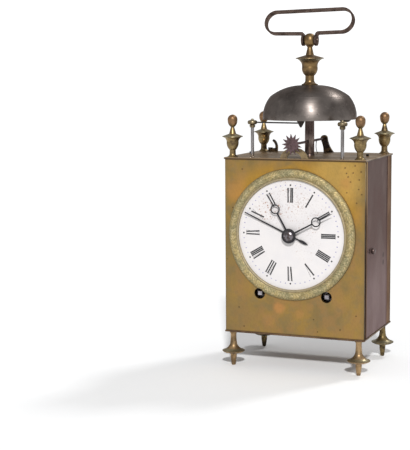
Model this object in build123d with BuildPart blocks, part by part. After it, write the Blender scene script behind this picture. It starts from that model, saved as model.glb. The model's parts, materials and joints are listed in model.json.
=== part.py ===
"""A carrying clock with alarm, in the form called a capucine.

X runs to the right, Y to the back and Z up. The origin is on the table, under the middle of the case.
All sizes are in millimetres. Angles on wheels are seen from the front, from +X towards +Z.
"""

import os
from math import atan2, cos, degrees, hypot, radians, sin, sqrt

from build123d import *

os.makedirs("parts", exist_ok=True)

# ---- case ----
FOOT_H = 31.0  # table to the underside of the base plate
SHEET = 1.5  # base and top plate
TOP_Z = 189.2  # upper face of the top plate
BASE_SIZE = (130.2, 91.0)
TOP_SIZE = (130.6, 91.4)
FRONT_W = 128.8
FRONT_Y = -45.0  # outer face of the front plate
FRONT_T = 1.4
POST_X = (54.5, 64.5)
POST_FRONT_Y = (-43.6, -37.6)
POST_REAR_Y = (31.5, 45.0)
GROOVE = (1.9, 2.7)  # depth and width of the groove between the front plate and each side
CORNER = (58.6, 41.0)  # feet and finials stand on this pattern

IN_LOW = FOOT_H + SHEET
IN_HIGH = TOP_Z - SHEET
IN_H = IN_HIGH - IN_LOW

STUD_R = 1.5
STUD_LEN = 9.0
FREE = 0.05  # radial play of a stud or a pivot in its hole

# ---- doors ----
DOOR_T = 1.4
DOOR_GAP = 0.3
DOOR_AXIS = (63.7, 29.9)
REAR_AXIS = (53.0, 44.1)
EDGE_R = 1.1
PIN_R = 0.8
PIN_LEN = 0.9
KNOB_Z = 107.6
KNOB_Y = -21.0

# ---- dial and hands ----
DIAL = (-2.1, 122.0)  # a little left of the middle
DIAL_R = 49.8
BEZEL_IN = 48.7
BEZEL_OUT = 58.4
WINDERS = ((30.1, 68.2), (-31.9, 68.2))
WINDER_HOLE = 5.0
HOUR_ANGLE = 119.6  # hand directions
MINUTE_ANGLE = 28.0
ALARM_ANGLE = 155.5

# ---- above the case ----
STAR_Z = 201.8
STAR_Y = -49.6
STAR_RAYS = 13
STAR_ARBOR_R = 1.1
BELL_RIM_Z = 221.8
BELL_TOP_Z = 252.2
BELL_R = 42.1
BELL_STUD_R = 2.0  # top of the bell post, through the bell into the urn
POST_TENON_R = 3.0  # foot of the bell post, in the top plate
PIVOT_Z = 292.2  # handle pin
HANDLE_PIN_R = 1.1
BALL_R = 5.7
BALL_FLAT = 4.9  # from the middle of the ball to its flats
THREAD_Y = 26.0  # plane of the thread and the pendulum
ROD_TOP = IN_HIGH - 1.3  # where the thread meets the pendulum
STRIKE_ARBOR = (-48.5, -17.5)
ALARM_ARBOR = (41.0, -35.0)
HAMMER_R = 1.55  # arbor of each hammer
HAMMER_PIVOT_R = 0.7

# ---- movement ----
MOV_W = 106.0
MOV_T = 2.0
MOV_FRONT = -31.5  # front face of the front plate
MOV_BACK = 12.0  # front face of the back plate
MOV_IN = MOV_FRONT + MOV_T
MOV_REAR = MOV_BACK + MOV_T
PIVOT_R = 0.6
CENTRE_ARBOR_R = 1.15  # where it runs out to the hands
PALLET_ARBOR_R = 1.0  # where it runs out to the crutch
MINUTE_STUD_R = 0.9
DRUM_R = 22.5
GREAT_Y, SECOND_Y, CENTRE_Y, THIRD_Y, SCAPE_Y = -7.0, -2.0, 3.5, 8.3, -0.6


# ---- planes and lines that many pieces share ----
def upright(x, y, z=0):
    """Plane for the profile of a piece turned about a vertical line: radius across, height up."""
    return Plane(origin=(x, y, z), x_dir=(1, 0, 0), z_dir=(0, -1, 0))


def vertical(x, y):
    return Axis((x, y, 0), (0, 0, 1))


def lengthwise(x, z):
    """Plane for the profile of a piece turned about a line from front to back: radius across, Y up."""
    return Plane(origin=(x, 0, z))


def through(x, z):
    return Axis((x, 0, z), (0, 1, 0))


def facing(x, y, z):
    """Plane that faces the front, with its origin at the point given."""
    return Plane(origin=(x, y, z), x_dir=(1, 0, 0), z_dir=(0, -1, 0))


def keep(builder, name):
    """Labels a finished piece and writes it."""
    builder.part.label = name
    export_step(builder.part, f"parts/{name}.step")


def corners(x, y):
    return [(sx * x, sy * y) for sy in (-1, 1) for sx in (-1, 1)]


def shaft_outline(start, *steps):
    """Half-profile of a stepped shaft. Each step after the start gives a radius and where it ends."""
    place, points = start, [(0, start)]
    for radius, end in steps:
        points += [(radius, place), (radius, end)]
        place = end
    return points + [(0, place)]


# ---- toothed wheels ----
def ring(teeth, phase, tooth):
    """Points of a toothed outline. The tooth is a list of (radius, place), in shares of a tooth."""
    points = []
    for k in range(teeth):
        for radius, share in tooth:
            turn = radians(phase + (k + share) * 360 / teeth)
            points.append((radius * cos(turn), radius * sin(turn)))
    return points


def wheel_teeth(teeth, pitch_r, phase):
    """Pointed teeth of a clock wheel."""
    module = 2 * pitch_r / teeth
    root, tip = pitch_r - 1.35 * module, pitch_r + module
    return ring(teeth, phase, [(root, -0.3), (tip, 0), (root, 0.3)])


def leaves(teeth, pitch_r, phase):
    """Blunt leaves of a pinion."""
    module = 2 * pitch_r / teeth
    root, tip = pitch_r - 1.35 * module, pitch_r + 0.7 * module
    return ring(teeth, phase, [(root, -0.21), (tip, -0.09), (tip, 0.09), (root, 0.21)])


def crossings(inner, outer, arms=4, bar=1.6):
    """Windows between the arms of a wheel, each with straight sides."""
    windows = []
    for k in range(arms):
        middle = 360 / arms * (k + 0.5)
        half_in = 180 / arms - degrees(bar / inner)
        half_out = 180 / arms - degrees(bar / outer)
        shape = [(inner, -half_in), (outer, -half_out), (outer, -half_out / 3), (outer, half_out / 3)]
        shape += [(outer, half_out), (inner, half_in)]
        windows.append([(r * cos(radians(middle + a)), r * sin(radians(middle + a))) for r, a in shape])
    return windows


def bearing(a, b):
    """Direction and distance from one arbor to another, seen from the front."""
    return degrees(atan2(b[1] - a[1], b[0] - a[0])), hypot(b[0] - a[0], b[1] - a[1])


def meshed(a, teeth_a, phase_a, b, teeth_b):
    """Phase that puts a tooth space of wheel b on a tooth of wheel a."""
    line = bearing(a, b)[0]
    return line + 180 - 360 / teeth_b * ((phase_a - line) / (360 / teeth_a) + 0.5)


def third_point(a, reach_a, b, reach_b, side):
    """Arbor at two given distances from two others, on the left (1) or right (-1) of the line a to b."""
    line, gap = bearing(a, b)
    along = (gap**2 + reach_a**2 - reach_b**2) / (2 * gap)
    off = side * sqrt(reach_a**2 - along**2)
    c, s = cos(radians(line)), sin(radians(line))
    return a[0] + along * c - off * s, a[1] + along * s + off * c


def at_angle(a, reach, angle):
    return a[0] + reach * cos(radians(angle)), a[1] + reach * sin(radians(angle))


# ---- arbors of the movement and the phase of each wheel on them ----
GREAT_R, GREAT_TEETH, LEAVES = 27.5, 48, 8
SECOND_R, SECOND_TEETH = 26.5, 48
CENTRE_R, CENTRE_TEETH = 20.0, 72
THIRD_R, THIRD_TEETH, FINE_LEAVES = 18.0, 72, 6
SCAPE_R, SCAPE_TEETH = 12.5, 36

GOING, STRIKE = WINDERS
GREAT_REACH = GREAT_R * (1 + LEAVES / GREAT_TEETH)
SECOND_REACH = SECOND_R * (1 + LEAVES / SECOND_TEETH)
CENTRE_REACH = CENTRE_R * (1 + FINE_LEAVES / CENTRE_TEETH)
THIRD_REACH = THIRD_R * (1 + FINE_LEAVES / THIRD_TEETH)
SECOND = third_point(GOING, GREAT_REACH, DIAL, SECOND_REACH, -1)
THIRD = at_angle(DIAL, CENTRE_REACH, 36)
SCAPE = (0.0, THIRD[1] + sqrt(THIRD_REACH**2 - THIRD[0] ** 2))
PALLETS = (0.0, SCAPE[1] + 16.2)

GREAT_PHASE = 0.0
SECOND_LEAF = meshed(GOING, GREAT_TEETH, GREAT_PHASE, SECOND, LEAVES)
SECOND_PHASE = 0.0
CENTRE_LEAF = meshed(SECOND, SECOND_TEETH, SECOND_PHASE, DIAL, LEAVES)
CENTRE_PHASE = 0.0
THIRD_LEAF = meshed(DIAL, CENTRE_TEETH, CENTRE_PHASE, THIRD, FINE_LEAVES)
THIRD_PHASE = 0.0
SCAPE_LEAF = meshed(THIRD, THIRD_TEETH, THIRD_PHASE, SCAPE, FINE_LEAVES)

# strike train
PIN_WHEEL_R, PIN_WHEEL_TEETH = 17.0, 48
LOCK_R, LOCK_TEETH = 14.0, 48
PIN_WHEEL = at_angle(STRIKE, GREAT_REACH, 110)
LOCK = at_angle(PIN_WHEEL, PIN_WHEEL_R * (1 + LEAVES / PIN_WHEEL_TEETH), 76)
FLY = at_angle(LOCK, LOCK_R * (1 + FINE_LEAVES / LOCK_TEETH), 62)
PIN_LEAF = meshed(STRIKE, GREAT_TEETH, GREAT_PHASE, PIN_WHEEL, LEAVES)
LOCK_LEAF = meshed(PIN_WHEEL, PIN_WHEEL_TEETH, 0, LOCK, LEAVES)
FLY_LEAF = meshed(LOCK, LOCK_TEETH, 0, FLY, FINE_LEAVES)

# motion work
CANNON_R, CANNON_TEETH, MINUTE_WHEEL_TEETH = 3.75, 10, 30
MINUTE_WHEEL_R = CANNON_R * MINUTE_WHEEL_TEETH / CANNON_TEETH
HOUR_R, HOUR_TEETH = 12.0, 40
MINUTE_ARBOR = at_angle(DIAL, CANNON_R + MINUTE_WHEEL_R, -135)
MINUTE_PHASE = meshed(DIAL, CANNON_TEETH, 0, MINUTE_ARBOR, MINUTE_WHEEL_TEETH)
MINUTE_LEAF = meshed(DIAL, HOUR_TEETH, 0, MINUTE_ARBOR, CANNON_TEETH)

# ---- feet, one under each corner ----
for place, (x, y) in zip(("front_left", "front_right", "rear_left", "rear_right"), corners(*CORNER)):
    with BuildPart() as foot:
        with BuildSketch(upright(x, y)):
            with BuildLine():
                Polyline((0, 0), (1.4, 0), (1.8, 0.5), (2.7, 7.0), (2.9, 11.0))
                ThreePointArc((2.9, 11.0), (7.0, 11.5), (10.2, 13.1))
                Line((10.2, 13.1), (10.2, 13.6))
                ThreePointArc((10.2, 13.6), (5.7, 15.9), (3.4, 19.0))
                ThreePointArc((3.4, 19.0), (2.8, 23.0), (2.7, 29.6))
                Polyline((2.7, 29.6), (3.5, 30.0), (3.5, FOOT_H), (STUD_R, FOOT_H))
                Polyline((STUD_R, FOOT_H), (STUD_R, FOOT_H + STUD_LEN), (0, FOOT_H + STUD_LEN), (0, 0))
            make_face()
        revolve(axis=vertical(x, y))
    keep(foot, f"foot_{place}")

# ---- base plate ----
with BuildPart() as base_plate:
    with BuildSketch(Plane.XY.offset(FOOT_H)):
        Rectangle(*BASE_SIZE)
        with Locations(*corners(*CORNER)):
            Circle(STUD_R + FREE, mode=Mode.SUBTRACT)
    extrude(amount=SHEET)
    with BuildSketch(Plane.XY.offset(IN_LOW)):
        with Locations(DOOR_AXIS, (-DOOR_AXIS[0], DOOR_AXIS[1]), REAR_AXIS):
            Circle(PIN_R + FREE)
    extrude(amount=-PIN_LEN - DOOR_GAP, mode=Mode.SUBTRACT)
    chamfer(base_plate.faces().sort_by(Axis.Z)[0].outer_wire().edges(), 0.5)
keep(base_plate, "base_plate")

# ---- corner posts, pinched between the two plates by the studs of the feet and finials ----
with BuildPart() as corner_posts:
    with BuildSketch(Plane.XY.offset(IN_LOW)):
        for low, high in (POST_FRONT_Y, POST_REAR_Y):
            for side in (-1, 1):
                with Locations((side * sum(POST_X) / 2, (low + high) / 2)):
                    Rectangle(POST_X[1] - POST_X[0], high - low)
    extrude(amount=IN_H)
    for level, way in ((IN_LOW, 1), (IN_HIGH, -1)):
        with BuildSketch(Plane.XY.offset(level)):
            with Locations(*corners(*CORNER)):
                Circle(STUD_R + FREE)
        extrude(amount=way * STUD_LEN, mode=Mode.SUBTRACT)
    # grooves down the outer edge of the front posts, behind the front plate
    with BuildSketch(Plane.XY.offset(IN_LOW)):
        with Locations(*[(side * POST_X[1], POST_FRONT_Y[0]) for side in (-1, 1)]):
            Rectangle(2 * GROOVE[0], 2 * GROOVE[1])
    extrude(amount=IN_H, mode=Mode.SUBTRACT)
    # slots that the tongues of the door catches swing into
    with BuildSketch(Plane.XY.offset(KNOB_Z - 2.4)):
        with Locations(*[(side * 61.6, POST_FRONT_Y[1] - 1.2) for side in (-1, 1)]):
            Rectangle(2.8, 2.8)
    extrude(amount=15, mode=Mode.SUBTRACT)
keep(corner_posts, "corner_posts")

# ---- top plate, with the two small studs near its side edges ----
with BuildPart() as top_plate:
    with BuildSketch(Plane.XY.offset(IN_HIGH)):
        Rectangle(*TOP_SIZE)
        with Locations(*corners(*CORNER)):
            Circle(STUD_R + FREE, mode=Mode.SUBTRACT)
        with Locations(STRIKE_ARBOR, ALARM_ARBOR):
            Circle(HAMMER_R + FREE, mode=Mode.SUBTRACT)
        with Locations((0, 0)):
            Circle(POST_TENON_R + FREE, mode=Mode.SUBTRACT)
        with Locations((0.4, THREAD_Y)):
            SlotOverall(4.4, 1.6, mode=Mode.SUBTRACT)
    extrude(amount=SHEET)
    with BuildSketch(Plane.XY.offset(IN_HIGH)):
        with Locations(DOOR_AXIS, (-DOOR_AXIS[0], DOOR_AXIS[1]), REAR_AXIS):
            Circle(PIN_R + FREE)
    extrude(amount=PIN_LEN + DOOR_GAP, mode=Mode.SUBTRACT)
    with BuildSketch(Plane.XY.offset(TOP_Z)):
        with Locations((-57.5, 3.0), (54.5, -2.0)):
            Rectangle(2.2, 2.2)
    extrude(amount=2.2)
keep(top_plate, "top_plate")

# ---- front plate, with the hole for the hands' pipes and the two winding holes ----
with BuildPart() as front_plate:
    with BuildSketch(facing(0, FRONT_Y + FRONT_T, (IN_LOW + IN_HIGH) / 2)):
        Rectangle(FRONT_W, IN_H)
    extrude(amount=FRONT_T)
    with BuildSketch(facing(0, FRONT_Y + FRONT_T, 0)):
        with Locations(DIAL):
            Circle(4.6)
        with Locations(*WINDERS):
            Circle(WINDER_HOLE)
    extrude(amount=FRONT_T, mode=Mode.SUBTRACT)
keep(front_plate, "front_plate")

# ---- bezel, a hollow band with a bead at its inner edge, notched by the winding holes ----
with BuildPart() as bezel:
    with BuildSketch(lengthwise(*DIAL)):
        with BuildLine():
            Polyline((50.1, FRONT_Y), (BEZEL_OUT, FRONT_Y), (BEZEL_OUT, -45.7))
            ThreePointArc((BEZEL_OUT, -45.7), (57.3, -47.6), (54.8, -48.6))
            ThreePointArc((54.8, -48.6), (52.3, -48.4), (50.9, -47.6))
            ThreePointArc((50.9, -47.6), (49.9, -48.5), (BEZEL_IN, -47.6))
            Polyline((BEZEL_IN, -47.6), (BEZEL_IN, -46.5), (50.1, -46.5), (50.1, FRONT_Y))
        make_face()
    revolve(axis=through(*DIAL))
    with BuildSketch(facing(0, FRONT_Y, 0)):
        with Locations(*WINDERS):
            Circle(WINDER_HOLE)
    extrude(amount=6, mode=Mode.SUBTRACT)
keep(bezel, "bezel")

# ---- enamel dial, a shallow dome ----
with BuildPart() as dial:
    with BuildSketch(lengthwise(*DIAL)):
        with BuildLine():
            Line((4.1, -47.2), (4.1, -48.2))
            ThreePointArc((4.1, -48.2), (28.0, -47.7), (DIAL_R, -46.3))
            Polyline((DIAL_R, -46.3), (DIAL_R, FRONT_Y), (47.6, FRONT_Y), (47.6, -45.5))
            ThreePointArc((47.6, -45.5), (28.0, -46.7), (4.1, -47.2))
        make_face()
    revolve(axis=through(*DIAL))
keep(dial, "dial")

# ---- corner finials, an urn with an egg on top ----
for place, (x, y) in zip(("front_left", "front_right", "rear_left", "rear_right"), corners(*CORNER)):
    with BuildPart() as finial:
        with BuildSketch(upright(x, y, TOP_Z)):
            with BuildLine():
                Polyline((0, -STUD_LEN), (STUD_R, -STUD_LEN), (STUD_R, 0), (4.7, 0), (4.7, 0.5))
                ThreePointArc((4.7, 0.5), (3.4, 1.5), (2.8, 3.2))
                Line((2.8, 3.2), (2.7, 6.4))
                ThreePointArc((2.7, 6.4), (4.5, 8.9), (5.4, 12.8))
                ThreePointArc((5.4, 12.8), (6.5, 16.6), (9.3, 18.1))
                Polyline((9.3, 18.1), (9.2, 18.6), (3.1, 20.8), (1.5, 26.8))
                ThreePointArc((1.5, 26.8), (3.6, 29.2), (4.3, 32.4))
                ThreePointArc((4.3, 32.4), (3.2, 36.4), (0.5, 37.8))
                Polyline((0.5, 37.8), (0, 37.9), (0, -STUD_LEN))
            make_face()
        revolve(axis=vertical(x, y))
    keep(finial, f"finial_{place}")

# ---- bell post, with a shouldered foot in the top plate and a cross hole for the regulator arbor ----
under_bell = BELL_TOP_Z - 1.8
with BuildPart() as bell_post:
    with BuildSketch(upright(0, 0)):
        with BuildLine():
            Polyline((0, IN_HIGH - 3), (4.6, IN_HIGH - 3), (4.6, IN_HIGH), (POST_TENON_R, IN_HIGH))
            Line((POST_TENON_R, IN_HIGH), (POST_TENON_R, TOP_Z))
            Polyline((POST_TENON_R, TOP_Z), (4.6, TOP_Z), (4.3, TOP_Z + 1.2))
            Polyline((4.3, TOP_Z + 1.2), (4.1, 240.0), (4.1, under_bell))
            Polyline((4.1, under_bell), (BELL_STUD_R, under_bell), (BELL_STUD_R, BELL_TOP_Z + 7))
            Polyline((BELL_STUD_R, BELL_TOP_Z + 7), (0, BELL_TOP_Z + 7), (0, IN_HIGH - 3))
        make_face()
    revolve(axis=vertical(0, 0))
    with BuildSketch(facing(0, 6, STAR_Z)):
        Circle(STAR_ARBOR_R + FREE)
    extrude(amount=12, mode=Mode.SUBTRACT)
keep(bell_post, "bell_post")

# ---- bell, a flattened dome with a wall that thickens to the rim ----
bell_bore = BELL_STUD_R + FREE  # of the bell and of the urn
with BuildPart() as bell:
    with BuildSketch(upright(0, 0)):
        with BuildLine():
            Line((bell_bore, BELL_TOP_Z), (7.4, BELL_TOP_Z))
            ThreePointArc((7.4, BELL_TOP_Z), (24.4, 248.8), (35.2, 242.6))
            ThreePointArc((35.2, 242.6), (40.2, 234.4), (BELL_R, BELL_RIM_Z))
            Line((BELL_R, BELL_RIM_Z), (BELL_R - 1.8, BELL_RIM_Z))
            ThreePointArc((BELL_R - 1.8, BELL_RIM_Z), (38.6, 233.8), (34.0, 241.4))
            ThreePointArc((34.0, 241.4), (23.8, 247.4), (7.0, BELL_TOP_Z - 1.6))
            Polyline((7.0, BELL_TOP_Z - 1.6), (bell_bore, BELL_TOP_Z - 1.6), (bell_bore, BELL_TOP_Z))
        make_face()
    revolve(axis=vertical(0, 0))
keep(bell, "bell")

# ---- urn that clamps the bell and carries the handle in the ball on its top ----
with BuildPart() as bell_urn:
    with BuildSketch(upright(0, 0)):
        with BuildLine():
            Polyline((bell_bore, BELL_TOP_Z), (7.2, BELL_TOP_Z), (7.4, 253.2))
            ThreePointArc((7.4, 253.2), (5.2, 254.1), (4.1, 256.2))
            Line((4.1, 256.2), (4.0, 260.6))
            ThreePointArc((4.0, 260.6), (6.3, 263.4), (7.1, 267.8))
            ThreePointArc((7.1, 267.8), (8.4, 273.2), (12.8, 275.8))
            Polyline((12.8, 275.8), (12.7, 276.4), (3.7, 279.0), (2.2, 285.6), (2.9, 286.8))
            Line((2.9, 286.8), (4.7, 288.3))
            ThreePointArc((4.7, 288.3), (BALL_R, 292.6), (3.6, 297.0))
            ThreePointArc((3.6, 297.0), (2.2, 297.9), (0.5, 298.2))
            Polyline((0.5, 298.2), (0, 298.3), (0, BELL_TOP_Z + 7.4), (bell_bore, BELL_TOP_Z + 7.4))
            Line((bell_bore, BELL_TOP_Z + 7.4), (bell_bore, BELL_TOP_Z))
        make_face()
    revolve(axis=vertical(0, 0))
    with BuildSketch(Plane.YZ):
        with Locations((0, PIVOT_Z)):
            Circle(HANDLE_PIN_R + FREE)
    extrude(amount=8, both=True, mode=Mode.SUBTRACT)
    # the ball is filed flat where the ears of the handle bear on it
    with BuildSketch(Plane.XY.offset(PIVOT_Z - BALL_R)):
        with Locations((BALL_FLAT + 2, 0), (-BALL_FLAT - 2, 0)):
            Rectangle(4, 12)
    extrude(amount=2 * BALL_R, mode=Mode.SUBTRACT)
keep(bell_urn, "bell_urn")

# ---- handle pin, through both ears and the ball, with a head at each end ----
STRAP_T, STRAP_W = 1.8, 5.5
EAR_X, EAR_R = 6.0, 5.2
PIN_END = EAR_X + STRAP_T / 2 + FREE
with BuildPart() as handle_pin:
    with BuildSketch(Plane.YZ):
        with Locations((0, PIVOT_Z)):
            Circle(HANDLE_PIN_R)
    extrude(amount=PIN_END, both=True)
    for side in (-1, 1):
        with BuildSketch(Plane.YZ.offset(side * PIN_END)):
            with Locations((0, PIVOT_Z)):
                Circle(2.2)
        extrude(amount=side * 0.9, taper=20)
keep(handle_pin, "handle_pin")

# ---- handle: an iron strap bent to a loop that is open above the ball, with an ear at each end ----
LEAN = radians(17)  # drawn leaning to the back
with BuildPart() as handle:
    along_handle = Plane(origin=(0, 0, PIVOT_Z), x_dir=(1, 0, 0), z_dir=(0, -cos(LEAN), sin(LEAN)))
    with BuildSketch(along_handle):
        with BuildLine():
            Line((-EAR_X, 4.0), (-EAR_X, 4.2))
            ThreePointArc((-EAR_X, 4.2), (-6.5, 5.5), (-7.8, 6.0))
            Line((-7.8, 6.0), (-32.8, 6.4))
            ThreePointArc((-32.8, 6.4), (-42.9, 16.6), (-32.4, 26.7))
            Line((-32.4, 26.7), (27.4, 28.3))
            ThreePointArc((27.4, 28.3), (38.6, 17.7), (27.2, 7.0))
            Line((27.2, 7.0), (7.8, 6.5))
            ThreePointArc((7.8, 6.5), (6.5, 5.7), (EAR_X, 4.2))
            Line((EAR_X, 4.2), (EAR_X, 4.0))
        trace(line_width=STRAP_T)
    extrude(amount=STRAP_W / 2, both=True)
    for side in (-1, 1):
        with BuildSketch(Plane.YZ.offset(side * EAR_X - STRAP_T / 2)):
            with Locations((0, PIVOT_Z)):
                Circle(EAR_R)
        extrude(amount=STRAP_T)
    with BuildSketch(Plane.YZ):
        with Locations((0, PIVOT_Z)):
            Circle(HANDLE_PIN_R + FREE)
    extrude(amount=12, both=True, mode=Mode.SUBTRACT)
keep(handle, "handle")

# ---- pendulum regulator: star wheel, its long arbor, and the two cocks it turns in ----
with BuildPart() as star_wheel:
    with BuildSketch(facing(0, STAR_Y, STAR_Z)):
        with BuildLine():
            Polyline(*ring(STAR_RAYS, 96, [(9.3, 0), (5.4, 0.5)]), close=True)
        make_face()
        Circle(STAR_ARBOR_R, mode=Mode.SUBTRACT)
    extrude(amount=1.1)
keep(star_wheel, "star_wheel")

with BuildPart() as regulator_arbor:
    with BuildSketch(lengthwise(0, STAR_Z)):
        with BuildLine():
            steps = [(STAR_ARBOR_R, STAR_Y), (1.9, STAR_Y + 3.2), (STAR_ARBOR_R, 43.4)]
            Polyline(*shaft_outline(STAR_Y - 1.6, *steps), close=True)
        make_face()
    revolve(axis=through(0, STAR_Z))
keep(regulator_arbor, "regulator_arbor")

with BuildPart() as front_cock:
    with BuildSketch(facing(0, -42.6, TOP_Z)):
        with BuildLine():
            Line((-13.2, 0), (-12.6, 0.9))
            ThreePointArc((-12.6, 0.9), (-9.2, 6.3), (-3.3, 9.0))
            Polyline((-3.3, 9.0), (-3.3, 12.6))
            ThreePointArc((-3.3, 12.6), (0, 15.9), (3.3, 12.6))
            Line((3.3, 12.6), (3.3, 9.0))
            ThreePointArc((3.3, 9.0), (9.2, 6.3), (12.6, 0.9))
            Polyline((12.6, 0.9), (13.2, 0), (6.8, 0))
            ThreePointArc((6.8, 0), (0, 5.4), (-6.8, 0))
            Line((-6.8, 0), (-13.2, 0))
        make_face()
        with Locations((0, STAR_Z - TOP_Z)):
            Circle(STAR_ARBOR_R + FREE, mode=Mode.SUBTRACT)
    extrude(amount=1.8)
keep(front_cock, "front_cock")

with BuildPart() as rear_cock:
    with BuildSketch(facing(0, 43.2, TOP_Z)):
        with BuildLine():
            Line((0.6, 0), (10.2, 0))
            ThreePointArc((10.2, 0), (6.6, 5.0), (4.2, 12.4))
            ThreePointArc((4.2, 12.4), (1.0, 16.0), (-2.4, 13.0))
            Line((-2.4, 13.0), (-1.2, 9.4))
            ThreePointArc((-1.2, 9.4), (0.2, 4.6), (0.6, 0))
        make_face()
        with Locations((0, STAR_Z - TOP_Z)):
            Circle(STAR_ARBOR_R + FREE, mode=Mode.SUBTRACT)
    extrude(amount=2.6)
keep(rear_cock, "rear_cock")

# ---- silk thread: it bows a little between the arbor and the slot in the top plate ----
THREAD_R = 0.28
THREAD_TOP = (-STAR_ARBOR_R - THREAD_R, THREAD_Y, STAR_Z)
with BuildPart() as silk_thread:
    with BuildLine() as route:
        bends = [(-1.6, THREAD_Y, 196.4), (-0.9, THREAD_Y, 192.0)]
        FilletPolyline(THREAD_TOP, *bends, (0, THREAD_Y, ROD_TOP), radius=6)
    with BuildSketch(Plane(origin=route.line @ 0, z_dir=route.line % 0)):
        Circle(THREAD_R)
    sweep()
keep(silk_thread, "silk_thread")

# ---- hooked latch that turns on its screw at the rear left of the top plate ----
LATCH_PIVOT = (-51.6, 40.0)
with BuildPart() as roof_latch:
    with BuildSketch(Plane.XY.offset(TOP_Z)):
        with Locations((LATCH_PIVOT[0] + 3.0, LATCH_PIVOT[1])):
            Rectangle(6.0, 3.0)
    extrude(amount=2.4)
    # pivot screw, and the lump where the hook springs from the bar
    for along, radius, height in ((0, 2.2, 3.6), (4.4, 1.9, 3.1)):
        with BuildSketch(Plane.XY.offset(TOP_Z)):
            with Locations((LATCH_PIVOT[0] + along, LATCH_PIVOT[1])):
                Circle(radius)
        extrude(amount=height)
    with BuildSketch(facing(0, LATCH_PIVOT[1] + 1.1, TOP_Z)):
        with BuildLine():
            Polyline((-47.0, 0), (-44.4, 0), (-44.2, 3.0))
            ThreePointArc((-44.2, 3.0), (-44.7, 6.8), (-46.9, 10.6))
            Polyline((-46.9, 10.6), (-48.6, 11.4), (-49.4, 10.0), (-48.2, 8.8))
            ThreePointArc((-48.2, 8.8), (-46.6, 6.0), (-46.8, 2.4))
            Line((-46.8, 2.4), (-47.0, 0))
        make_face()
    extrude(amount=2.2)
keep(roof_latch, "roof_latch")

# ---- hammers: upright arbor in the top plate, thin arm, and head inside the bell ----
ARM_R = 0.65
STRIKE_HEAD = (2.5, -33.0)
ALARM_HEAD = (33.0, -0.4)
STRIKE_ARM_Z = (219.2, 219.6)
ALARM_ARM_Z = (218.6, 221.4)
STRIKE_FOOT, ALARM_FOOT = 106.0, 150.0
BEAD_Z = 219.2
TAIL_Z = 112.8


def arm_plane(arbor, head, heights):
    """Plane across the arm at the arbor, and the arm's length to the head."""
    start = Vector(*arbor, heights[0])
    span = Vector(*head, heights[1]) - start
    return Plane(origin=start, z_dir=span), span.length


def hammer(arbor, head, heights, foot, head_outline, tail=None):
    """Arbor, arm and head of one hammer, with the tail that its train pushes where that is given."""
    across, length = arm_plane(arbor, head, heights)
    with BuildPart() as piece:
        with BuildSketch(upright(*arbor)):
            with BuildLine():
                steps = [(HAMMER_PIVOT_R, foot + 2.0), (HAMMER_R, BEAD_Z + 1.2)]
                Polyline(*shaft_outline(foot, *steps), close=True)
            make_face()
        revolve(axis=vertical(*arbor))
        with BuildSketch(across):
            Circle(ARM_R)
        extrude(amount=length)
        with BuildSketch(upright(*head)):
            with BuildLine():
                Polyline(*head_outline, close=True)
            make_face()
        revolve(axis=vertical(*head))
        if tail:
            with BuildSketch(Plane.XY.offset(TAIL_Z)):
                with BuildLine():
                    Polyline(*tail, close=True)
                make_face()
            extrude(amount=1.5)
    return piece


def hammer_bead(arbor, head, heights):
    """Brass bead on the top of a hammer arbor, with a small cup under it and a hole for the arm."""
    across, length = arm_plane(arbor, head, heights)
    with BuildPart() as bead:
        with BuildSketch(upright(*arbor, BEAD_Z)):
            with BuildLine():
                Polyline((HAMMER_R + FREE, -4.8), (2.3, -4.6), (2.7, -2.9), (2.1, -2.2), (3.6, -1.7))
                ThreePointArc((3.6, -1.7), (4.4, 0), (3.6, 1.6))
                Polyline((3.6, 1.6), (1.3, 2.3), (0.9, 3.2), (0, 3.4), (0, 1.2 + FREE))
                Polyline((0, 1.2 + FREE), (HAMMER_R + FREE, 1.2 + FREE), (HAMMER_R + FREE, -4.8))
            make_face()
        revolve(axis=vertical(*arbor))
        with BuildSketch(across):
            Circle(ARM_R + FREE)
        extrude(amount=8, mode=Mode.SUBTRACT)
    return bead


POINTED_HEAD = [(0, 215.8), (0.7, 215.8), (3.4, 221.0), (3.4, 225.0), (0, 225.0)]
ROUND_HEAD = [(0, 219.6), (3.6, 219.6), (5.2, 220.8), (5.2, 226.0), (4.0, 227.4), (0, 227.4)]

STRIKE_TAIL = [(-50.2, -18.2), (-46.8, -18.2), (-46.4, -5.6), (-48.4, -5.6)]
strike_hammer = hammer(STRIKE_ARBOR, STRIKE_HEAD, STRIKE_ARM_Z, STRIKE_FOOT, POINTED_HEAD, STRIKE_TAIL)
keep(strike_hammer, "strike_hammer")
alarm_hammer = hammer(ALARM_ARBOR, ALARM_HEAD, ALARM_ARM_Z, ALARM_FOOT, ROUND_HEAD)
keep(alarm_hammer, "alarm_hammer")
strike_hammer_bead = hammer_bead(STRIKE_ARBOR, STRIKE_HEAD, STRIKE_ARM_Z)
keep(strike_hammer_bead, "strike_hammer_bead")
alarm_hammer_bead = hammer_bead(ALARM_ARBOR, ALARM_HEAD, ALARM_ARM_Z)
keep(alarm_hammer_bead, "alarm_hammer_bead")

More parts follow.
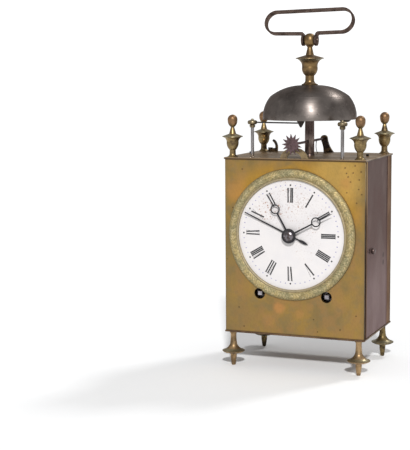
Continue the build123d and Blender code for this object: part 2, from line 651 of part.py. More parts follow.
# ---- doors: flat sheets between the posts, each on a wired edge with a pin at both ends ----
DOOR_LOW, DOOR_HIGH = IN_LOW + DOOR_GAP, IN_HIGH - DOOR_GAP
PIN_OUTLINE = shaft_outline(
    DOOR_LOW - PIN_LEN, (PIN_R, DOOR_LOW), (EDGE_R, DOOR_HIGH), (PIN_R, DOOR_HIGH + PIN_LEN)
)
FREE_EDGE = POST_FRONT_Y[1] + 0.5
for side, place in ((-1, "left"), (1, "right")):
    with BuildPart() as door:
        with BuildSketch(upright(side * DOOR_AXIS[0], DOOR_AXIS[1])):
            with BuildLine():
                Polyline(*PIN_OUTLINE, close=True)
            make_face()
        revolve(axis=vertical(side * DOOR_AXIS[0], DOOR_AXIS[1]))
        with BuildSketch(Plane.XY.offset(DOOR_LOW)):
            with Locations((side * DOOR_AXIS[0], (FREE_EDGE + DOOR_AXIS[1]) / 2)):
                Rectangle(DOOR_T, DOOR_AXIS[1] - FREE_EDGE)
        extrude(amount=DOOR_HIGH - DOOR_LOW)
        with BuildSketch(Plane.YZ.offset(side * DOOR_AXIS[0])):
            with Locations((KNOB_Y, KNOB_Z)):
                Circle(1.5)
        extrude(amount=2, both=True, mode=Mode.SUBTRACT)
        with BuildSketch(Plane.YZ.offset(side * (DOOR_AXIS[0] + DOOR_T / 2))):
            with Locations((-33.9, 109.0)):
                Circle(0.8)
        extrude(amount=side * 0.5)
    keep(door, f"{place}_door")

REAR_KNOB_X = -42.0
with BuildPart() as rear_door:
    with BuildSketch(upright(*REAR_AXIS)):
        with BuildLine():
            Polyline(*PIN_OUTLINE, close=True)
        make_face()
    revolve(axis=vertical(*REAR_AXIS))
    with BuildSketch(Plane.XY.offset(DOOR_LOW)):
        with Locations(((REAR_AXIS[0] - POST_X[0] + 0.4) / 2, REAR_AXIS[1])):
            Rectangle(REAR_AXIS[0] + POST_X[0] - 0.4, DOOR_T)
    extrude(amount=DOOR_HIGH - DOOR_LOW)
    with BuildSketch(lengthwise(REAR_KNOB_X, KNOB_Z)):
        with BuildLine():
            Polyline((0, 44.0), (3.2, 44.0), (3.2, 45.6), (1.4, 46.4), (1.4, 47.6))
            ThreePointArc((1.4, 47.6), (3.1, 49.6), (2.0, 51.9))
            Polyline((2.0, 51.9), (0, 52.2), (0, 44.0))
        make_face()
    revolve(axis=through(REAR_KNOB_X, KNOB_Z))
keep(rear_door, "rear_door")

# ---- catches of the side doors, drawn released: a knob outside, and a tongue for the front post ----
TONGUE = 18.4
CATCH_IN = DOOR_AXIS[0] - DOOR_T / 2 - 0.3
for side, place in ((-1, "left"), (1, "right")):
    with BuildPart() as catch:
        with BuildSketch(Plane(origin=(0, KNOB_Y, KNOB_Z), x_dir=(0, 1, 0), z_dir=(0, 0, -1))):
            with BuildLine():
                Polyline((0, 60.6), (2.6, 60.6), (2.6, CATCH_IN), (1.45, CATCH_IN), (1.45, 64.7))
                Line((1.45, 64.7), (2.3, 64.7))
                ThreePointArc((2.3, 64.7), (2.7, 66.0), (1.6, 67.3))
                Polyline((1.6, 67.3), (0, 67.5), (0, 60.6))
            make_face()
        revolve(axis=Axis((0, KNOB_Y, KNOB_Z), (1, 0, 0)))
        with BuildSketch(Plane.YZ.offset(CATCH_IN)):
            with Locations((KNOB_Y, KNOB_Z + TONGUE / 2)):
                Rectangle(3.2, TONGUE)
        extrude(amount=-1.4)
        if side < 0:
            mirror(about=Plane.YZ, mode=Mode.REPLACE)
    keep(catch, f"{place}_door_catch")

# ---- movement plates: they stand between the base and top plates and carry every arbor ----
PLATE_PIVOTS = [SECOND, THIRD, SCAPE, PIN_WHEEL, LOCK, FLY]
PILLARS = [(-49.5, 41.0), (49.5, 41.0), (-37.0, 178.0), (37.0, 178.0)]
WINDER_R = (3.0, 2.4, 1.4)  # in the barrel, in the front plate, in the back plate

with BuildPart() as movement_front_plate:
    with BuildSketch(facing(0, MOV_IN, 0)):
        with Locations((0, (IN_LOW + IN_HIGH) / 2)):
            Rectangle(MOV_W, IN_H)
        with Locations(*PLATE_PIVOTS, PALLETS):
            Circle(PIVOT_R + FREE, mode=Mode.SUBTRACT)
        with Locations(DIAL):
            Circle(CENTRE_ARBOR_R + FREE, mode=Mode.SUBTRACT)
        with Locations(*WINDERS):
            Circle(WINDER_R[1] + FREE, mode=Mode.SUBTRACT)
    extrude(amount=MOV_T)
    # stud that the minute wheel runs on
    with BuildSketch(facing(MINUTE_ARBOR[0], MOV_FRONT, MINUTE_ARBOR[1])):
        Circle(MINUTE_STUD_R)
    extrude(amount=11.4)
    # cocks that carry the feet of the two hammer arbors
    with BuildSketch(Plane.XY.offset(STRIKE_FOOT)):
        with Locations((STRIKE_ARBOR[0], (MOV_IN + STRIKE_ARBOR[1] + 2.6) / 2)):
            Rectangle(6.4, STRIKE_ARBOR[1] + 2.6 - MOV_IN)
        with Locations(STRIKE_ARBOR):
            Circle(HAMMER_PIVOT_R + FREE, mode=Mode.SUBTRACT)
    extrude(amount=2.0)
    with BuildSketch(Plane.XY.offset(ALARM_FOOT)):
        with Locations((ALARM_ARBOR[0], (MOV_FRONT + ALARM_ARBOR[1] - 2.6) / 2)):
            Rectangle(6.4, MOV_FRONT - ALARM_ARBOR[1] + 2.6)
        with Locations(ALARM_ARBOR):
            Circle(HAMMER_PIVOT_R + FREE, mode=Mode.SUBTRACT)
    extrude(amount=2.0)
keep(movement_front_plate, "movement_front_plate")

with BuildPart() as movement_back_plate:
    with BuildSketch(facing(0, MOV_REAR, 0)):
        with Locations((0, (IN_LOW + IN_HIGH) / 2)):
            Rectangle(MOV_W, IN_H)
        with Locations(*PLATE_PIVOTS, DIAL):
            Circle(PIVOT_R + FREE, mode=Mode.SUBTRACT)
        with Locations(PALLETS):
            Circle(PALLET_ARBOR_R + FREE, mode=Mode.SUBTRACT)
        with Locations(*WINDERS):
            Circle(WINDER_R[2] + FREE, mode=Mode.SUBTRACT)
    extrude(amount=MOV_T)
keep(movement_back_plate, "movement_back_plate")

with BuildPart() as movement_pillars:
    with BuildSketch(facing(0, MOV_BACK, 0)):
        with Locations(*PILLARS):
            Circle(2.6)
    extrude(amount=MOV_BACK - MOV_IN)
keep(movement_pillars, "movement_pillars")

# ---- barrels: hollow drums with the great wheel at the back, each turning on its winding arbor ----
DRUM_FRONT, DRUM_BACK, DRUM_WALL = -26.5, GREAT_Y - 2.0, 1.2
for place, name in ((GOING, "going_barrel"), (STRIKE, "strike_barrel")):
    with BuildPart() as barrel:
        with BuildSketch(facing(place[0], GREAT_Y, place[1])):
            with BuildLine():
                Polyline(*wheel_teeth(GREAT_TEETH, GREAT_R, GREAT_PHASE), close=True)
            make_face()
        extrude(amount=2.0)
        with BuildSketch(lengthwise(*place)):
            with BuildLine():
                Polyline(*shaft_outline(DRUM_FRONT, (DRUM_R, DRUM_BACK)), close=True)
            make_face()
        revolve(axis=through(*place))
        with BuildSketch(lengthwise(*place)):
            with Locations((DRUM_R / 2, (DRUM_FRONT + DRUM_BACK) / 2)):
                Rectangle(DRUM_R - 2 * DRUM_WALL, DRUM_BACK - DRUM_FRONT - 2 * DRUM_WALL)
            with Locations(((WINDER_R[0] + FREE) / 2, (DRUM_FRONT + GREAT_Y) / 2)):
                Rectangle(WINDER_R[0] + FREE, GREAT_Y - DRUM_FRONT + 4)
        revolve(axis=through(*place), mode=Mode.SUBTRACT)
    keep(barrel, name)

# ---- winding arbors, with the ratchet wheel in front of the plate and a square for the key ----
RATCHET_R, RATCHET_TEETH = 8.0, 16
SQUARE = 4.2
for place, name in ((GOING, "going_winding_arbor"), (STRIKE, "strike_winding_arbor")):
    with BuildPart() as winder:
        steps = [(WINDER_R[1], MOV_IN), (WINDER_R[0], MOV_BACK), (WINDER_R[2], MOV_REAR)]
        with BuildSketch(lengthwise(*place)):
            with BuildLine():
                Polyline(*shaft_outline(MOV_FRONT - 3.0, *steps), close=True)
            make_face()
        revolve(axis=through(*place))
        with BuildSketch(facing(place[0], MOV_FRONT - 0.5, place[1])):
            with BuildLine():
                Polyline(*ring(RATCHET_TEETH, 0, [(RATCHET_R - 1.5, 0.02), (RATCHET_R, 0.96)]), close=True)
            make_face()
        extrude(amount=1.8)
        with BuildSketch(facing(place[0], MOV_FRONT - 2.3, place[1])):
            Rectangle(SQUARE, SQUARE)
        extrude(amount=10.6)
        chamfer(winder.faces().sort_by(Axis.Y)[0].edges(), 0.5)
    keep(winder, name)

# ---- clicks, each a spring with its own nose, riveted to the plate beside its ratchet wheel ----
with BuildPart() as click_springs:
    for centre_x, centre_z in WINDERS:
        with BuildSketch(facing(0, MOV_FRONT, 0)):
            with BuildLine():
                Polyline(
                    (centre_x - 1.6, centre_z + RATCHET_R + 0.4),
                    (centre_x + 16.0, centre_z + RATCHET_R + 2.4),
                    (centre_x + 16.0, centre_z + RATCHET_R + 6.4),
                    (centre_x + 11.0, centre_z + RATCHET_R + 6.4),
                    (centre_x + 11.0, centre_z + RATCHET_R + 3.4),
                    (centre_x - 2.2, centre_z + RATCHET_R + 1.8),
                    close=True,
                )
            make_face()
        extrude(amount=2.2)
keep(click_springs, "click_springs")


# ---- trains: each wheel is riveted to its arbor with its pinion ----
def shaft_between_plates(pinion_r):
    """Outline of an arbor that turns between the plates on a pivot at each end."""
    return shaft_outline(MOV_FRONT, (PIVOT_R, MOV_IN), (pinion_r, MOV_BACK), (PIVOT_R, MOV_REAR))


def train_wheel(place, shaft, rings):
    """Shaft with toothed rings, each an outline, its windows, where its back face is, a thickness."""
    with BuildPart() as piece:
        with BuildSketch(lengthwise(*place)):
            with BuildLine():
                Polyline(*shaft, close=True)
            make_face()
        revolve(axis=through(*place))
        for outline, windows, back, thick in rings:
            with BuildSketch(facing(place[0], back, place[1])):
                with BuildLine():
                    Polyline(*outline, close=True)
                make_face()
                for window in windows:
                    with BuildLine():
                        Polyline(*window, close=True)
                    make_face(mode=Mode.SUBTRACT)
            extrude(amount=thick)
    return piece


intermediate_wheel = train_wheel(
    SECOND,
    shaft_between_plates(1.4),
    [
        (wheel_teeth(SECOND_TEETH, SECOND_R, SECOND_PHASE), crossings(6.0, 22.0), SECOND_Y, 1.5),
        (leaves(LEAVES, GREAT_R / 6, SECOND_LEAF), [], GREAT_Y + 1.5, 5.0),
    ],
)
keep(intermediate_wheel, "intermediate_wheel")

# the centre arbor runs out to the front and carries the hands
centre_wheel = train_wheel(
    DIAL,
    shaft_outline(-54.2, (CENTRE_ARBOR_R, MOV_IN), (1.6, MOV_BACK), (PIVOT_R, MOV_REAR)),
    [
        (wheel_teeth(CENTRE_TEETH, CENTRE_R, CENTRE_PHASE), crossings(5.0, 16.2), CENTRE_Y, 1.5),
        (leaves(LEAVES, SECOND_R / 6, CENTRE_LEAF), [], SECOND_Y + 1.4, 4.4),
    ],
)
keep(centre_wheel, "centre_wheel")

third_wheel = train_wheel(
    THIRD,
    shaft_between_plates(0.85),
    [
        (wheel_teeth(THIRD_TEETH, THIRD_R, THIRD_PHASE), crossings(4.0, 14.5), THIRD_Y, 1.3),
        (leaves(FINE_LEAVES, CENTRE_R / 12, THIRD_LEAF), [], CENTRE_Y + 1.3, 4.2),
    ],
)
keep(third_wheel, "third_wheel")

SCAPE_TOOTH = [(SCAPE_R - 2.2, 0.0), (SCAPE_R, 0.9)]
escape_wheel = train_wheel(
    SCAPE,
    shaft_between_plates(0.8),
    [
        (ring(SCAPE_TEETH, 0, SCAPE_TOOTH), crossings(3.6, 8.6, bar=1.2), SCAPE_Y, 1.3),
        (leaves(FINE_LEAVES, THIRD_R / 12, SCAPE_LEAF), [], THIRD_Y + 1.2, 4.0),
    ],
)
keep(escape_wheel, "escape_wheel")

# ---- pallets: the anchor over the escape wheel, with the crutch that steers the pendulum ----
CRUTCH_Z = PALLETS[1] - 44.0
with BuildPart() as pallets:
    with BuildSketch(lengthwise(*PALLETS)):
        with BuildLine():
            steps = [(PIVOT_R, MOV_IN), (1.2, MOV_BACK), (PALLET_ARBOR_R, MOV_REAR + 3.4)]
            Polyline(*shaft_outline(MOV_FRONT, *steps), close=True)
        make_face()
    revolve(axis=through(*PALLETS))
    with BuildSketch(facing(PALLETS[0], SCAPE_Y + 0.3, PALLETS[1])):
        with BuildLine():
            Polyline((-9.5, -6.3), (-9.0, -3.2), (-2.4, 1.8), (2.4, 1.8), (9.0, -3.2), (9.5, -6.3))
            Polyline((9.5, -6.3), (7.6, -3.9), (1.8, -1.9), (-1.8, -1.9), (-7.6, -3.9), (-9.5, -6.3))
        make_face()
    extrude(amount=2.0)
    with BuildSketch(facing(0, MOV_REAR + 3.2, 0)):
        with Locations((0, (PALLETS[1] + CRUTCH_Z) / 2)):
            Rectangle(2.2, PALLETS[1] - CRUTCH_Z + 2.2)
    extrude(amount=1.2)
    with BuildSketch(Plane.XY.offset(CRUTCH_Z - 0.6)):
        with Locations((0, (MOV_REAR + 3.0 + THREAD_Y + 2.6) / 2)):
            Rectangle(5.2, THREAD_Y + 2.6 - MOV_REAR - 3.0)
        with Locations((0, THREAD_Y + 1.0)):
            Rectangle(2.5, 4.4, mode=Mode.SUBTRACT)
        with Locations((2.2, 19.2), (-2.2, 19.2)):
            Rectangle(2.2, 5.4, mode=Mode.SUBTRACT)
    extrude(amount=1.2)
keep(pallets, "pallets")

# ---- pendulum: a rod that hangs from the thread just under the top plate, and a lens-shaped bob ----
BOB_Z = 67.0
ROD_R = 1.0
with BuildPart() as pendulum_rod:
    with BuildSketch(Plane.XY.offset(BOB_Z - 12)):
        with Locations((0, THREAD_Y)):
            Circle(ROD_R)
    extrude(amount=ROD_TOP - 3.3 - BOB_Z + 12)
    with BuildSketch(facing(0, THREAD_Y + 0.6, ROD_TOP - 2.3)):
        Circle(2.2)
        Circle(1.0, mode=Mode.SUBTRACT)
    extrude(amount=1.2)
keep(pendulum_rod, "pendulum_rod")

with BuildPart() as pendulum_bob:
    with BuildSketch(lengthwise(0, BOB_Z)):
        with BuildLine():
            Line((0, THREAD_Y - 3.8), (0, THREAD_Y + 3.8))
            ThreePointArc((0, THREAD_Y + 3.8), (8.4, THREAD_Y + 2.6), (14.0, THREAD_Y + 0.4))
            Line((14.0, THREAD_Y + 0.4), (14.0, THREAD_Y - 0.4))
            ThreePointArc((14.0, THREAD_Y - 0.4), (8.4, THREAD_Y - 2.6), (0, THREAD_Y - 3.8))
        make_face()
    revolve(axis=through(0, BOB_Z))
    with BuildSketch(Plane.XY.offset(BOB_Z - 16)):
        with Locations((0, THREAD_Y)):
            Circle(ROD_R + FREE)
    extrude(amount=32, mode=Mode.SUBTRACT)
keep(pendulum_bob, "pendulum_bob")


# ---- motion work and hands: pipes one inside the other, each hand on the front end of its own ----
def pipe_wheel(place, inner, outline, back, thick, pipe_r, pipe_ends):
    """Toothed ring on a pipe."""
    with BuildPart() as piece:
        with BuildSketch(facing(place[0], back, place[1])):
            with BuildLine():
                Polyline(*outline, close=True)
            make_face()
        extrude(amount=thick)
        with BuildSketch(facing(place[0], pipe_ends[1], place[1])):
            Circle(pipe_r)
        extrude(amount=pipe_ends[1] - pipe_ends[0])
        with BuildSketch(facing(place[0], 0, place[1])):
            Circle(inner)
        extrude(amount=60, mode=Mode.SUBTRACT)
    return piece


HAND_T = 0.6
ALARM_HAND_Y, HOUR_HAND_Y, MINUTE_HAND_Y = -49.0, -50.7, -52.4  # back face of each hand
CANNON_PIPE, HOUR_PIPE, ALARM_PIPE = 1.9, 2.6, 3.4
BORE = 0.08  # radial play between two pipes

cannon_pinion = pipe_wheel(
    DIAL, 1.2, leaves(CANNON_TEETH, CANNON_R, 0), -35.2, 4.2, CANNON_PIPE, (MINUTE_HAND_Y - HAND_T, -35.2)
)
keep(cannon_pinion, "cannon_pinion")

hour_outline = wheel_teeth(HOUR_TEETH, HOUR_R, 0)
hour_wheel = pipe_wheel(
    DIAL, CANNON_PIPE + BORE, hour_outline, -40.2, 1.4, HOUR_PIPE, (HOUR_HAND_Y - HAND_T, -40.2)
)
keep(hour_wheel, "hour_wheel")

with BuildPart() as minute_wheel:
    with BuildSketch(facing(MINUTE_ARBOR[0], -36.4, MINUTE_ARBOR[1])):
        with BuildLine():
            Polyline(*wheel_teeth(MINUTE_WHEEL_TEETH, MINUTE_WHEEL_R, MINUTE_PHASE), close=True)
        make_face()
    extrude(amount=1.4)
    with BuildSketch(facing(MINUTE_ARBOR[0], -37.8, MINUTE_ARBOR[1])):
        with BuildLine():
            Polyline(*leaves(CANNON_TEETH, HOUR_R / 4, MINUTE_LEAF), close=True)
        make_face()
    extrude(amount=4.6)
    with BuildSketch(facing(MINUTE_ARBOR[0], -30, MINUTE_ARBOR[1])):
        Circle(MINUTE_STUD_R + FREE)
    extrude(amount=15, mode=Mode.SUBTRACT)
keep(minute_wheel, "minute_wheel")


def pointing(angle, y):
    """Plane that faces the front, with its X along a hand."""
    turn = radians(angle)
    return Plane(origin=(DIAL[0], y, DIAL[1]), x_dir=(cos(turn), 0, sin(turn)), z_dir=(0, -1, 0))


def ringed_hand(angle, y, hub, bore, ring_at, tip_at):
    """Hand with a hub, a slim arm, a ring near its end and a short pointed tip."""
    with BuildPart() as hand:
        with BuildSketch(pointing(angle, y)):
            with BuildLine():
                Polyline((0, -0.85), (ring_at, -0.6), (ring_at, 0.6), (0, 0.85), close=True)
            make_face()
            with BuildLine():
                Polyline((ring_at, -0.7), (tip_at, -0.15), (tip_at, 0.15), (ring_at, 0.7), close=True)
            make_face()
            Circle(hub)
            with Locations((ring_at, 0)):
                Circle(4.3)
                Circle(3.3, mode=Mode.SUBTRACT)
            Circle(bore, mode=Mode.SUBTRACT)
        extrude(amount=HAND_T)
    return hand


hour_hand = ringed_hand(HOUR_ANGLE, HOUR_HAND_Y, 5.4, HOUR_PIPE, 26.4, 34.4)
keep(hour_hand, "hour_hand")
minute_hand = ringed_hand(MINUTE_ANGLE, MINUTE_HAND_Y, 6.5, CANNON_PIPE, 28.1, 44.6)
keep(minute_hand, "minute_hand")

boss_back, arbor_end = MINUTE_HAND_Y - HAND_T, -54.2
with BuildPart() as hand_boss:
    with BuildSketch(lengthwise(*DIAL)):
        with BuildLine():
            Polyline((CENTRE_ARBOR_R, boss_back), (4.6, boss_back), (4.5, -53.6))
            ThreePointArc((4.5, -53.6), (2.7, -54.7), (0.5, -55.0))
            Polyline((0.5, -55.0), (0, -55.1), (0, arbor_end), (CENTRE_ARBOR_R, arbor_end))
            Line((CENTRE_ARBOR_R, arbor_end), (CENTRE_ARBOR_R, boss_back))
        make_face()
    revolve(axis=through(*DIAL))
keep(hand_boss, "hand_boss")

# the alarm hand turns with its pipe and the notched disc behind the dial
with BuildPart() as alarm_hand:
    with BuildSketch(pointing(ALARM_ANGLE, ALARM_HAND_Y)):
        with BuildLine():
            Polyline((0, -0.8), (46.2, -0.4), (46.2, 0.4), (0, 0.8), close=True)
        make_face()
        with BuildLine():
            Line((0, -0.6), (-9.0, -0.6))
            ThreePointArc((-9.0, -0.6), (-13.0, -1.3), (-18.3, 0))
            ThreePointArc((-18.3, 0), (-13.0, 1.3), (-9.0, 0.6))
            Polyline((-9.0, 0.6), (0, 0.6), (0, -0.6))
        make_face()
        Circle(4.6)
    extrude(amount=HAND_T)
    with BuildSketch(pointing(ALARM_ANGLE, -42.4)):
        Circle(ALARM_PIPE)
    extrude(amount=-ALARM_HAND_Y - 42.4)
    with BuildSketch(pointing(ALARM_ANGLE, -42.4)):
        Circle(8.5)
        with Locations((8.5, 0)):
            Rectangle(3.0, 2.4, mode=Mode.SUBTRACT)
    extrude(amount=0.9)
    with BuildSketch(pointing(ALARM_ANGLE, -40)):
        Circle(HOUR_PIPE + BORE)
    extrude(amount=12, mode=Mode.SUBTRACT)
keep(alarm_hand, "alarm_hand")

# ---- strike train ----
BLOWS = 78  # blows in twelve hours, one for each space between two pins
PINS = 13
with BuildPart() as count_wheel:
    x, z = STRIKE
    with BuildSketch(facing(x, DRUM_FRONT - 0.9, z)):
        Circle(21.0)
        Circle(WINDER_R[0] + FREE, mode=Mode.SUBTRACT)
        hours_struck = 0
        for hour in range(1, 13):
            hours_struck += hour
            with PolarLocations(20.4, 1, start_angle=360 * hours_struck / BLOWS):
                Rectangle(3.6, 1.2, mode=Mode.SUBTRACT)
    extrude(amount=1.2)
    # collar that seats it on the drum
    with BuildSketch(facing(x, DRUM_FRONT, z)):
        Circle(6.0)
        Circle(WINDER_R[0] + FREE, mode=Mode.SUBTRACT)
    extrude(amount=0.9)
keep(count_wheel, "count_wheel")

with BuildPart() as pin_wheel:
    with BuildSketch(lengthwise(*PIN_WHEEL)):
        with BuildLine():
            Polyline(*shaft_between_plates(1.4), close=True)
        make_face()
    revolve(axis=through(*PIN_WHEEL))
    with BuildSketch(facing(PIN_WHEEL[0], SECOND_Y, PIN_WHEEL[1])):
        with BuildLine():
            Polyline(*wheel_teeth(PIN_WHEEL_TEETH, PIN_WHEEL_R, 0), close=True)
        make_face()
    extrude(amount=1.5)
    with BuildSketch(facing(PIN_WHEEL[0], GREAT_Y + 1.5, PIN_WHEEL[1])):
        with BuildLine():
            Polyline(*leaves(LEAVES, GREAT_R / 6, PIN_LEAF), close=True)
        make_face()
    extrude(amount=5.0)
    with BuildSketch(facing(PIN_WHEEL[0], SECOND_Y - 1.5, PIN_WHEEL[1])):
        with PolarLocations(13.4, PINS):
            Circle(0.6)
    extrude(amount=3.0)
keep(pin_wheel, "pin_wheel")

locking_wheel = train_wheel(
    LOCK,
    shaft_between_plates(1.2),
    [
        (wheel_teeth(LOCK_TEETH, LOCK_R, 0), crossings(4.0, 10.8), CENTRE_Y, 1.4),
        (leaves(LEAVES, PIN_WHEEL_R / 6, LOCK_LEAF), [], SECOND_Y + 1.4, 4.4),
    ],
)
keep(locking_wheel, "locking_wheel")

with BuildPart() as fly:
    with BuildSketch(lengthwise(*FLY)):
        with BuildLine():
            Polyline(*shaft_between_plates(0.85), close=True)
        make_face()
    revolve(axis=through(*FLY))
    with BuildSketch(facing(FLY[0], CENTRE_Y + 1.3, FLY[1])):
        with BuildLine():
            Polyline(*leaves(FINE_LEAVES, LOCK_R / 8, FLY_LEAF), close=True)
        make_face()
    extrude(amount=4.0)
    with BuildSketch(facing(FLY[0], -6.0, FLY[1])):
        Rectangle(20.0, 0.6)
    extrude(amount=20.0)
keep(fly, "fly")
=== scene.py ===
"""A carrying clock with alarm, finished piece by piece: brass case, dial, bell and handle."""

import json
import math

import bmesh
import bpy
from mathutils import Matrix, Quaternion, Vector


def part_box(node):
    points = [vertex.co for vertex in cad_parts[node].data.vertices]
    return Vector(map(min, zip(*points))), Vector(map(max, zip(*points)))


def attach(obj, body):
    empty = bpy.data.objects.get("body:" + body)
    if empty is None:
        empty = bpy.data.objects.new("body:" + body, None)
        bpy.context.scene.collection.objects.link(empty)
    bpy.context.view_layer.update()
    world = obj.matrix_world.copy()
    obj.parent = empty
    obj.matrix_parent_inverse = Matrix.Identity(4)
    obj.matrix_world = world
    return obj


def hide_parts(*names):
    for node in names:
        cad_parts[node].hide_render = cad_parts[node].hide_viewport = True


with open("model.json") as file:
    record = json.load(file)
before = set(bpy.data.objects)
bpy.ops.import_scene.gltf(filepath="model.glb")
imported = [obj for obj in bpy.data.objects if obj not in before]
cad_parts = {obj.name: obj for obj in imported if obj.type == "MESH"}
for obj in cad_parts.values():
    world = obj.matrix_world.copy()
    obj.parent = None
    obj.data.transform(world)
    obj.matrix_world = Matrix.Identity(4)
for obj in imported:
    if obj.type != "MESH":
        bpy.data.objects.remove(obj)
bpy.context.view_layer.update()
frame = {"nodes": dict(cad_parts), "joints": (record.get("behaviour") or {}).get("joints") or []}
node = frame["nodes"]

# ---- Front plate ----
# A sheet of brass, hammered flat, filed and once lacquered. It has browned unevenly, and it is
# brighter and redder round the dial, where the lacquer is gone. A blotch at the upper right is
# drawn a brighter gold. The dark lines along its head, its foot and its sides low down are painted
# shade where it meets the plates and posts.


class Amount:
    """A number that changes over a surface. Sums and products of amounts make their own nodes."""

    def __init__(self, finish, socket):
        self.finish, self.socket = finish, socket

    def maths(self, operation, *values):
        return self.finish.node("ShaderNodeMath", {"operation": operation}, *values)

    def __add__(self, other):
        return self.maths("ADD", self, other)

    def __radd__(self, other):
        return self.maths("ADD", other, self)

    def __sub__(self, other):
        return self.maths("SUBTRACT", self, other)

    def __rsub__(self, other):
        return self.maths("SUBTRACT", other, self)

    def __mul__(self, other):
        return self.maths("MULTIPLY", self, other)

    def __rmul__(self, other):
        return self.maths("MULTIPLY", other, self)

    def __pow__(self, other):
        return self.maths("POWER", self, other)

    def __abs__(self):
        return self.maths("ABSOLUTE", self)

    def fade(self, start, end):
        """0 where this is at start, 1 where it is at end, with a soft change between."""
        settings = {"interpolation_type": "SMOOTHSTEP"}
        return self.finish.node("ShaderNodeMapRange", settings, self, start, end, 0.0, 1.0)


class Finish:
    """A material under way. Fixed sockets are the same all over. Sizes are in metres."""

    def __init__(self, name, **fixed):
        self.material = bpy.data.materials.new(name)
        self.material.use_nodes = True
        self.tree = self.material.node_tree
        self.shader = self.tree.nodes["Principled BSDF"]
        self.set(**fixed)
        self.spot = self.node("ShaderNodeTexCoord", {"output": "Object"})

    def set(self, **sockets):
        """Feeds sockets of the shader: Base_Color=..., Roughness=..."""
        for name, value in sockets.items():
            self.feed(self.shader.inputs[name.replace("_", " ")], value)

    def feed(self, socket, value):
        if isinstance(value, Amount):
            self.tree.links.new(value.socket, socket)
        else:
            socket.default_value = value

    def node(self, kind, settings=None, *values, **named):
        """Adds a node: its settings come first, then the values or links of its sockets."""
        made = self.tree.nodes.new(kind)
        settings = dict(settings or {})
        output = settings.pop("output", 0)
        for setting, value in settings.items():
            setattr(made, setting, value)
        for place, value in enumerate(values):
            self.feed(made.inputs[place], value)
        for name, value in named.items():
            self.feed(made.inputs[name], value)
        return Amount(self, made.outputs[output])

    def axis(self, letter):
        """How far along X, Y or Z a point is."""
        return self.node("ShaderNodeSeparateXYZ", {"output": letter}, self.spot)

    def stretched(self, x, y, z):
        """Places for a pattern that is drawn out along each axis where the factor is under 1."""
        return self.node("ShaderNodeVectorMath", {"operation": "MULTIPLY"}, self.spot, (x, y, z))

    def noise(self, size, detail, spot=None):
        """An uneven amount around a half, in clouds of about the given size."""
        named = {"Vector": spot or self.spot, "Scale": 1 / size, "Detail": detail}
        return self.node("ShaderNodeTexNoise", {}, Roughness=0.55, **named)

    def pits(self, size, radius):
        """1 inside scattered round pits, one to a cell of the given size, 0 outside."""
        settings = {"output": "Distance"}
        cells = self.node("ShaderNodeTexVoronoi", settings, Vector=self.spot, Scale=1 / size)
        return cells.fade(radius / size, 0.5 * radius / size)

    def distance(self, along, z, letter="X"):
        """How far points are from a line across the clock, given by its X and Z, or its Y and Z."""
        return ((self.axis(letter) - along) ** 2 + (self.axis("Z") - z) ** 2) ** 0.5

    def stain(self, x, z, radius):
        """1 in a blotch seen from the front, 0 beyond the radius, with an uneven edge."""
        uneven = 0.8 * radius * (self.noise(0.7 * radius, 3) - 0.5)
        return (self.distance(x, z) + uneven).fade(radius, 0.35 * radius)

    def mix(self, share, first, second):
        """One colour turning into another."""
        mixed = self.node("ShaderNodeMix", {"data_type": "RGBA", "output": 2}, share)
        for place, colour in ((6, first), (7, second)):
            colour = (*colour, 1.0) if isinstance(colour, tuple) else colour
            self.feed(mixed.socket.node.inputs[place], colour)
        return mixed

    def relief(self, height, depth):
        """Small raised and sunk places, depth metres from one end of height to the other."""
        return self.node("ShaderNodeBump", {}, Strength=1.0, Distance=depth, Height=height)

    def on(self, *names):
        """Puts the finish on CAD nodes and smooths their round faces."""
        for name in names:
            smooth(node[name])
            node[name].data.materials.clear()
            node[name].data.materials.append(self.material)


def smooth(piece, angle=35.0):
    """Round faces shade as round, and edges sharper than the angle stay crisp."""
    piece.data.polygons.foreach_set("use_smooth", [True] * len(piece.data.polygons))
    piece.data.set_sharp_from_angle(angle=math.radians(angle))


pivot = {joint["child"]: joint["pos_m"] for joint in frame["joints"]}
DIAL_X, _, DIAL_Z = pivot["minute_hand"]
BEZEL_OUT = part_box("bezel")[1].x - DIAL_X  # radius of the bezel
PLATE_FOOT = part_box("front_plate")[0].z
PLATE_SIDE, _, PLATE_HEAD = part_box("front_plate")[1]
GOLD, OLIVE = (0.335, 0.204, 0.054), (0.242, 0.165, 0.061)
ORANGE, ROSE = (0.450, 0.243, 0.034), (0.352, 0.199, 0.073)
COPPER = (0.50, 0.24, 0.075)
SPOT_BROWN = (0.06, 0.035, 0.02)
BRIGHT_GOLD = (0.56, 0.345, 0.085)
BRIGHT_CORNER = (0.040, 0.172, 0.034)  # X, Z and radius
BROAD_STAINS = (  # X, Z, radius, strength and colour
    (-0.060, 0.125, 0.034, 0.70, (0.195, 0.15, 0.062)),
    (-0.008, 0.187, 0.028, 0.75, (0.205, 0.155, 0.080)),
    (-0.056, 0.046, 0.030, 0.40, (0.225, 0.158, 0.064)),
)
COPPER_STAINS = (  # X, Z, radius and strength
    (-0.0135, 0.0560, 0.0070, 0.75),
    (0.0052, 0.0519, 0.0060, 0.35),
    (-0.0230, 0.0440, 0.0080, 0.30),
    (0.0470, 0.1690, 0.0070, 0.40),
    (-0.0560, 0.1600, 0.0150, 0.45),
)
SPOT_R = 0.0011
DARK_SPOTS = (  # X and Z
    (0.0535, 0.1781),
    (0.0606, 0.1791),
    (0.0491, 0.1745),
    (0.0553, 0.1841),
    (0.0464, 0.1822),
    (0.0585, 0.1640),
    (-0.0516, 0.0544),
    (-0.0468, 0.0373),
    (0.0428, 0.0402),
    (0.0590, 0.1722),
    (0.0512, 0.1702),
    (0.0612, 0.1596),
    (0.0568, 0.1520),
    (-0.0480, 0.1790),
)

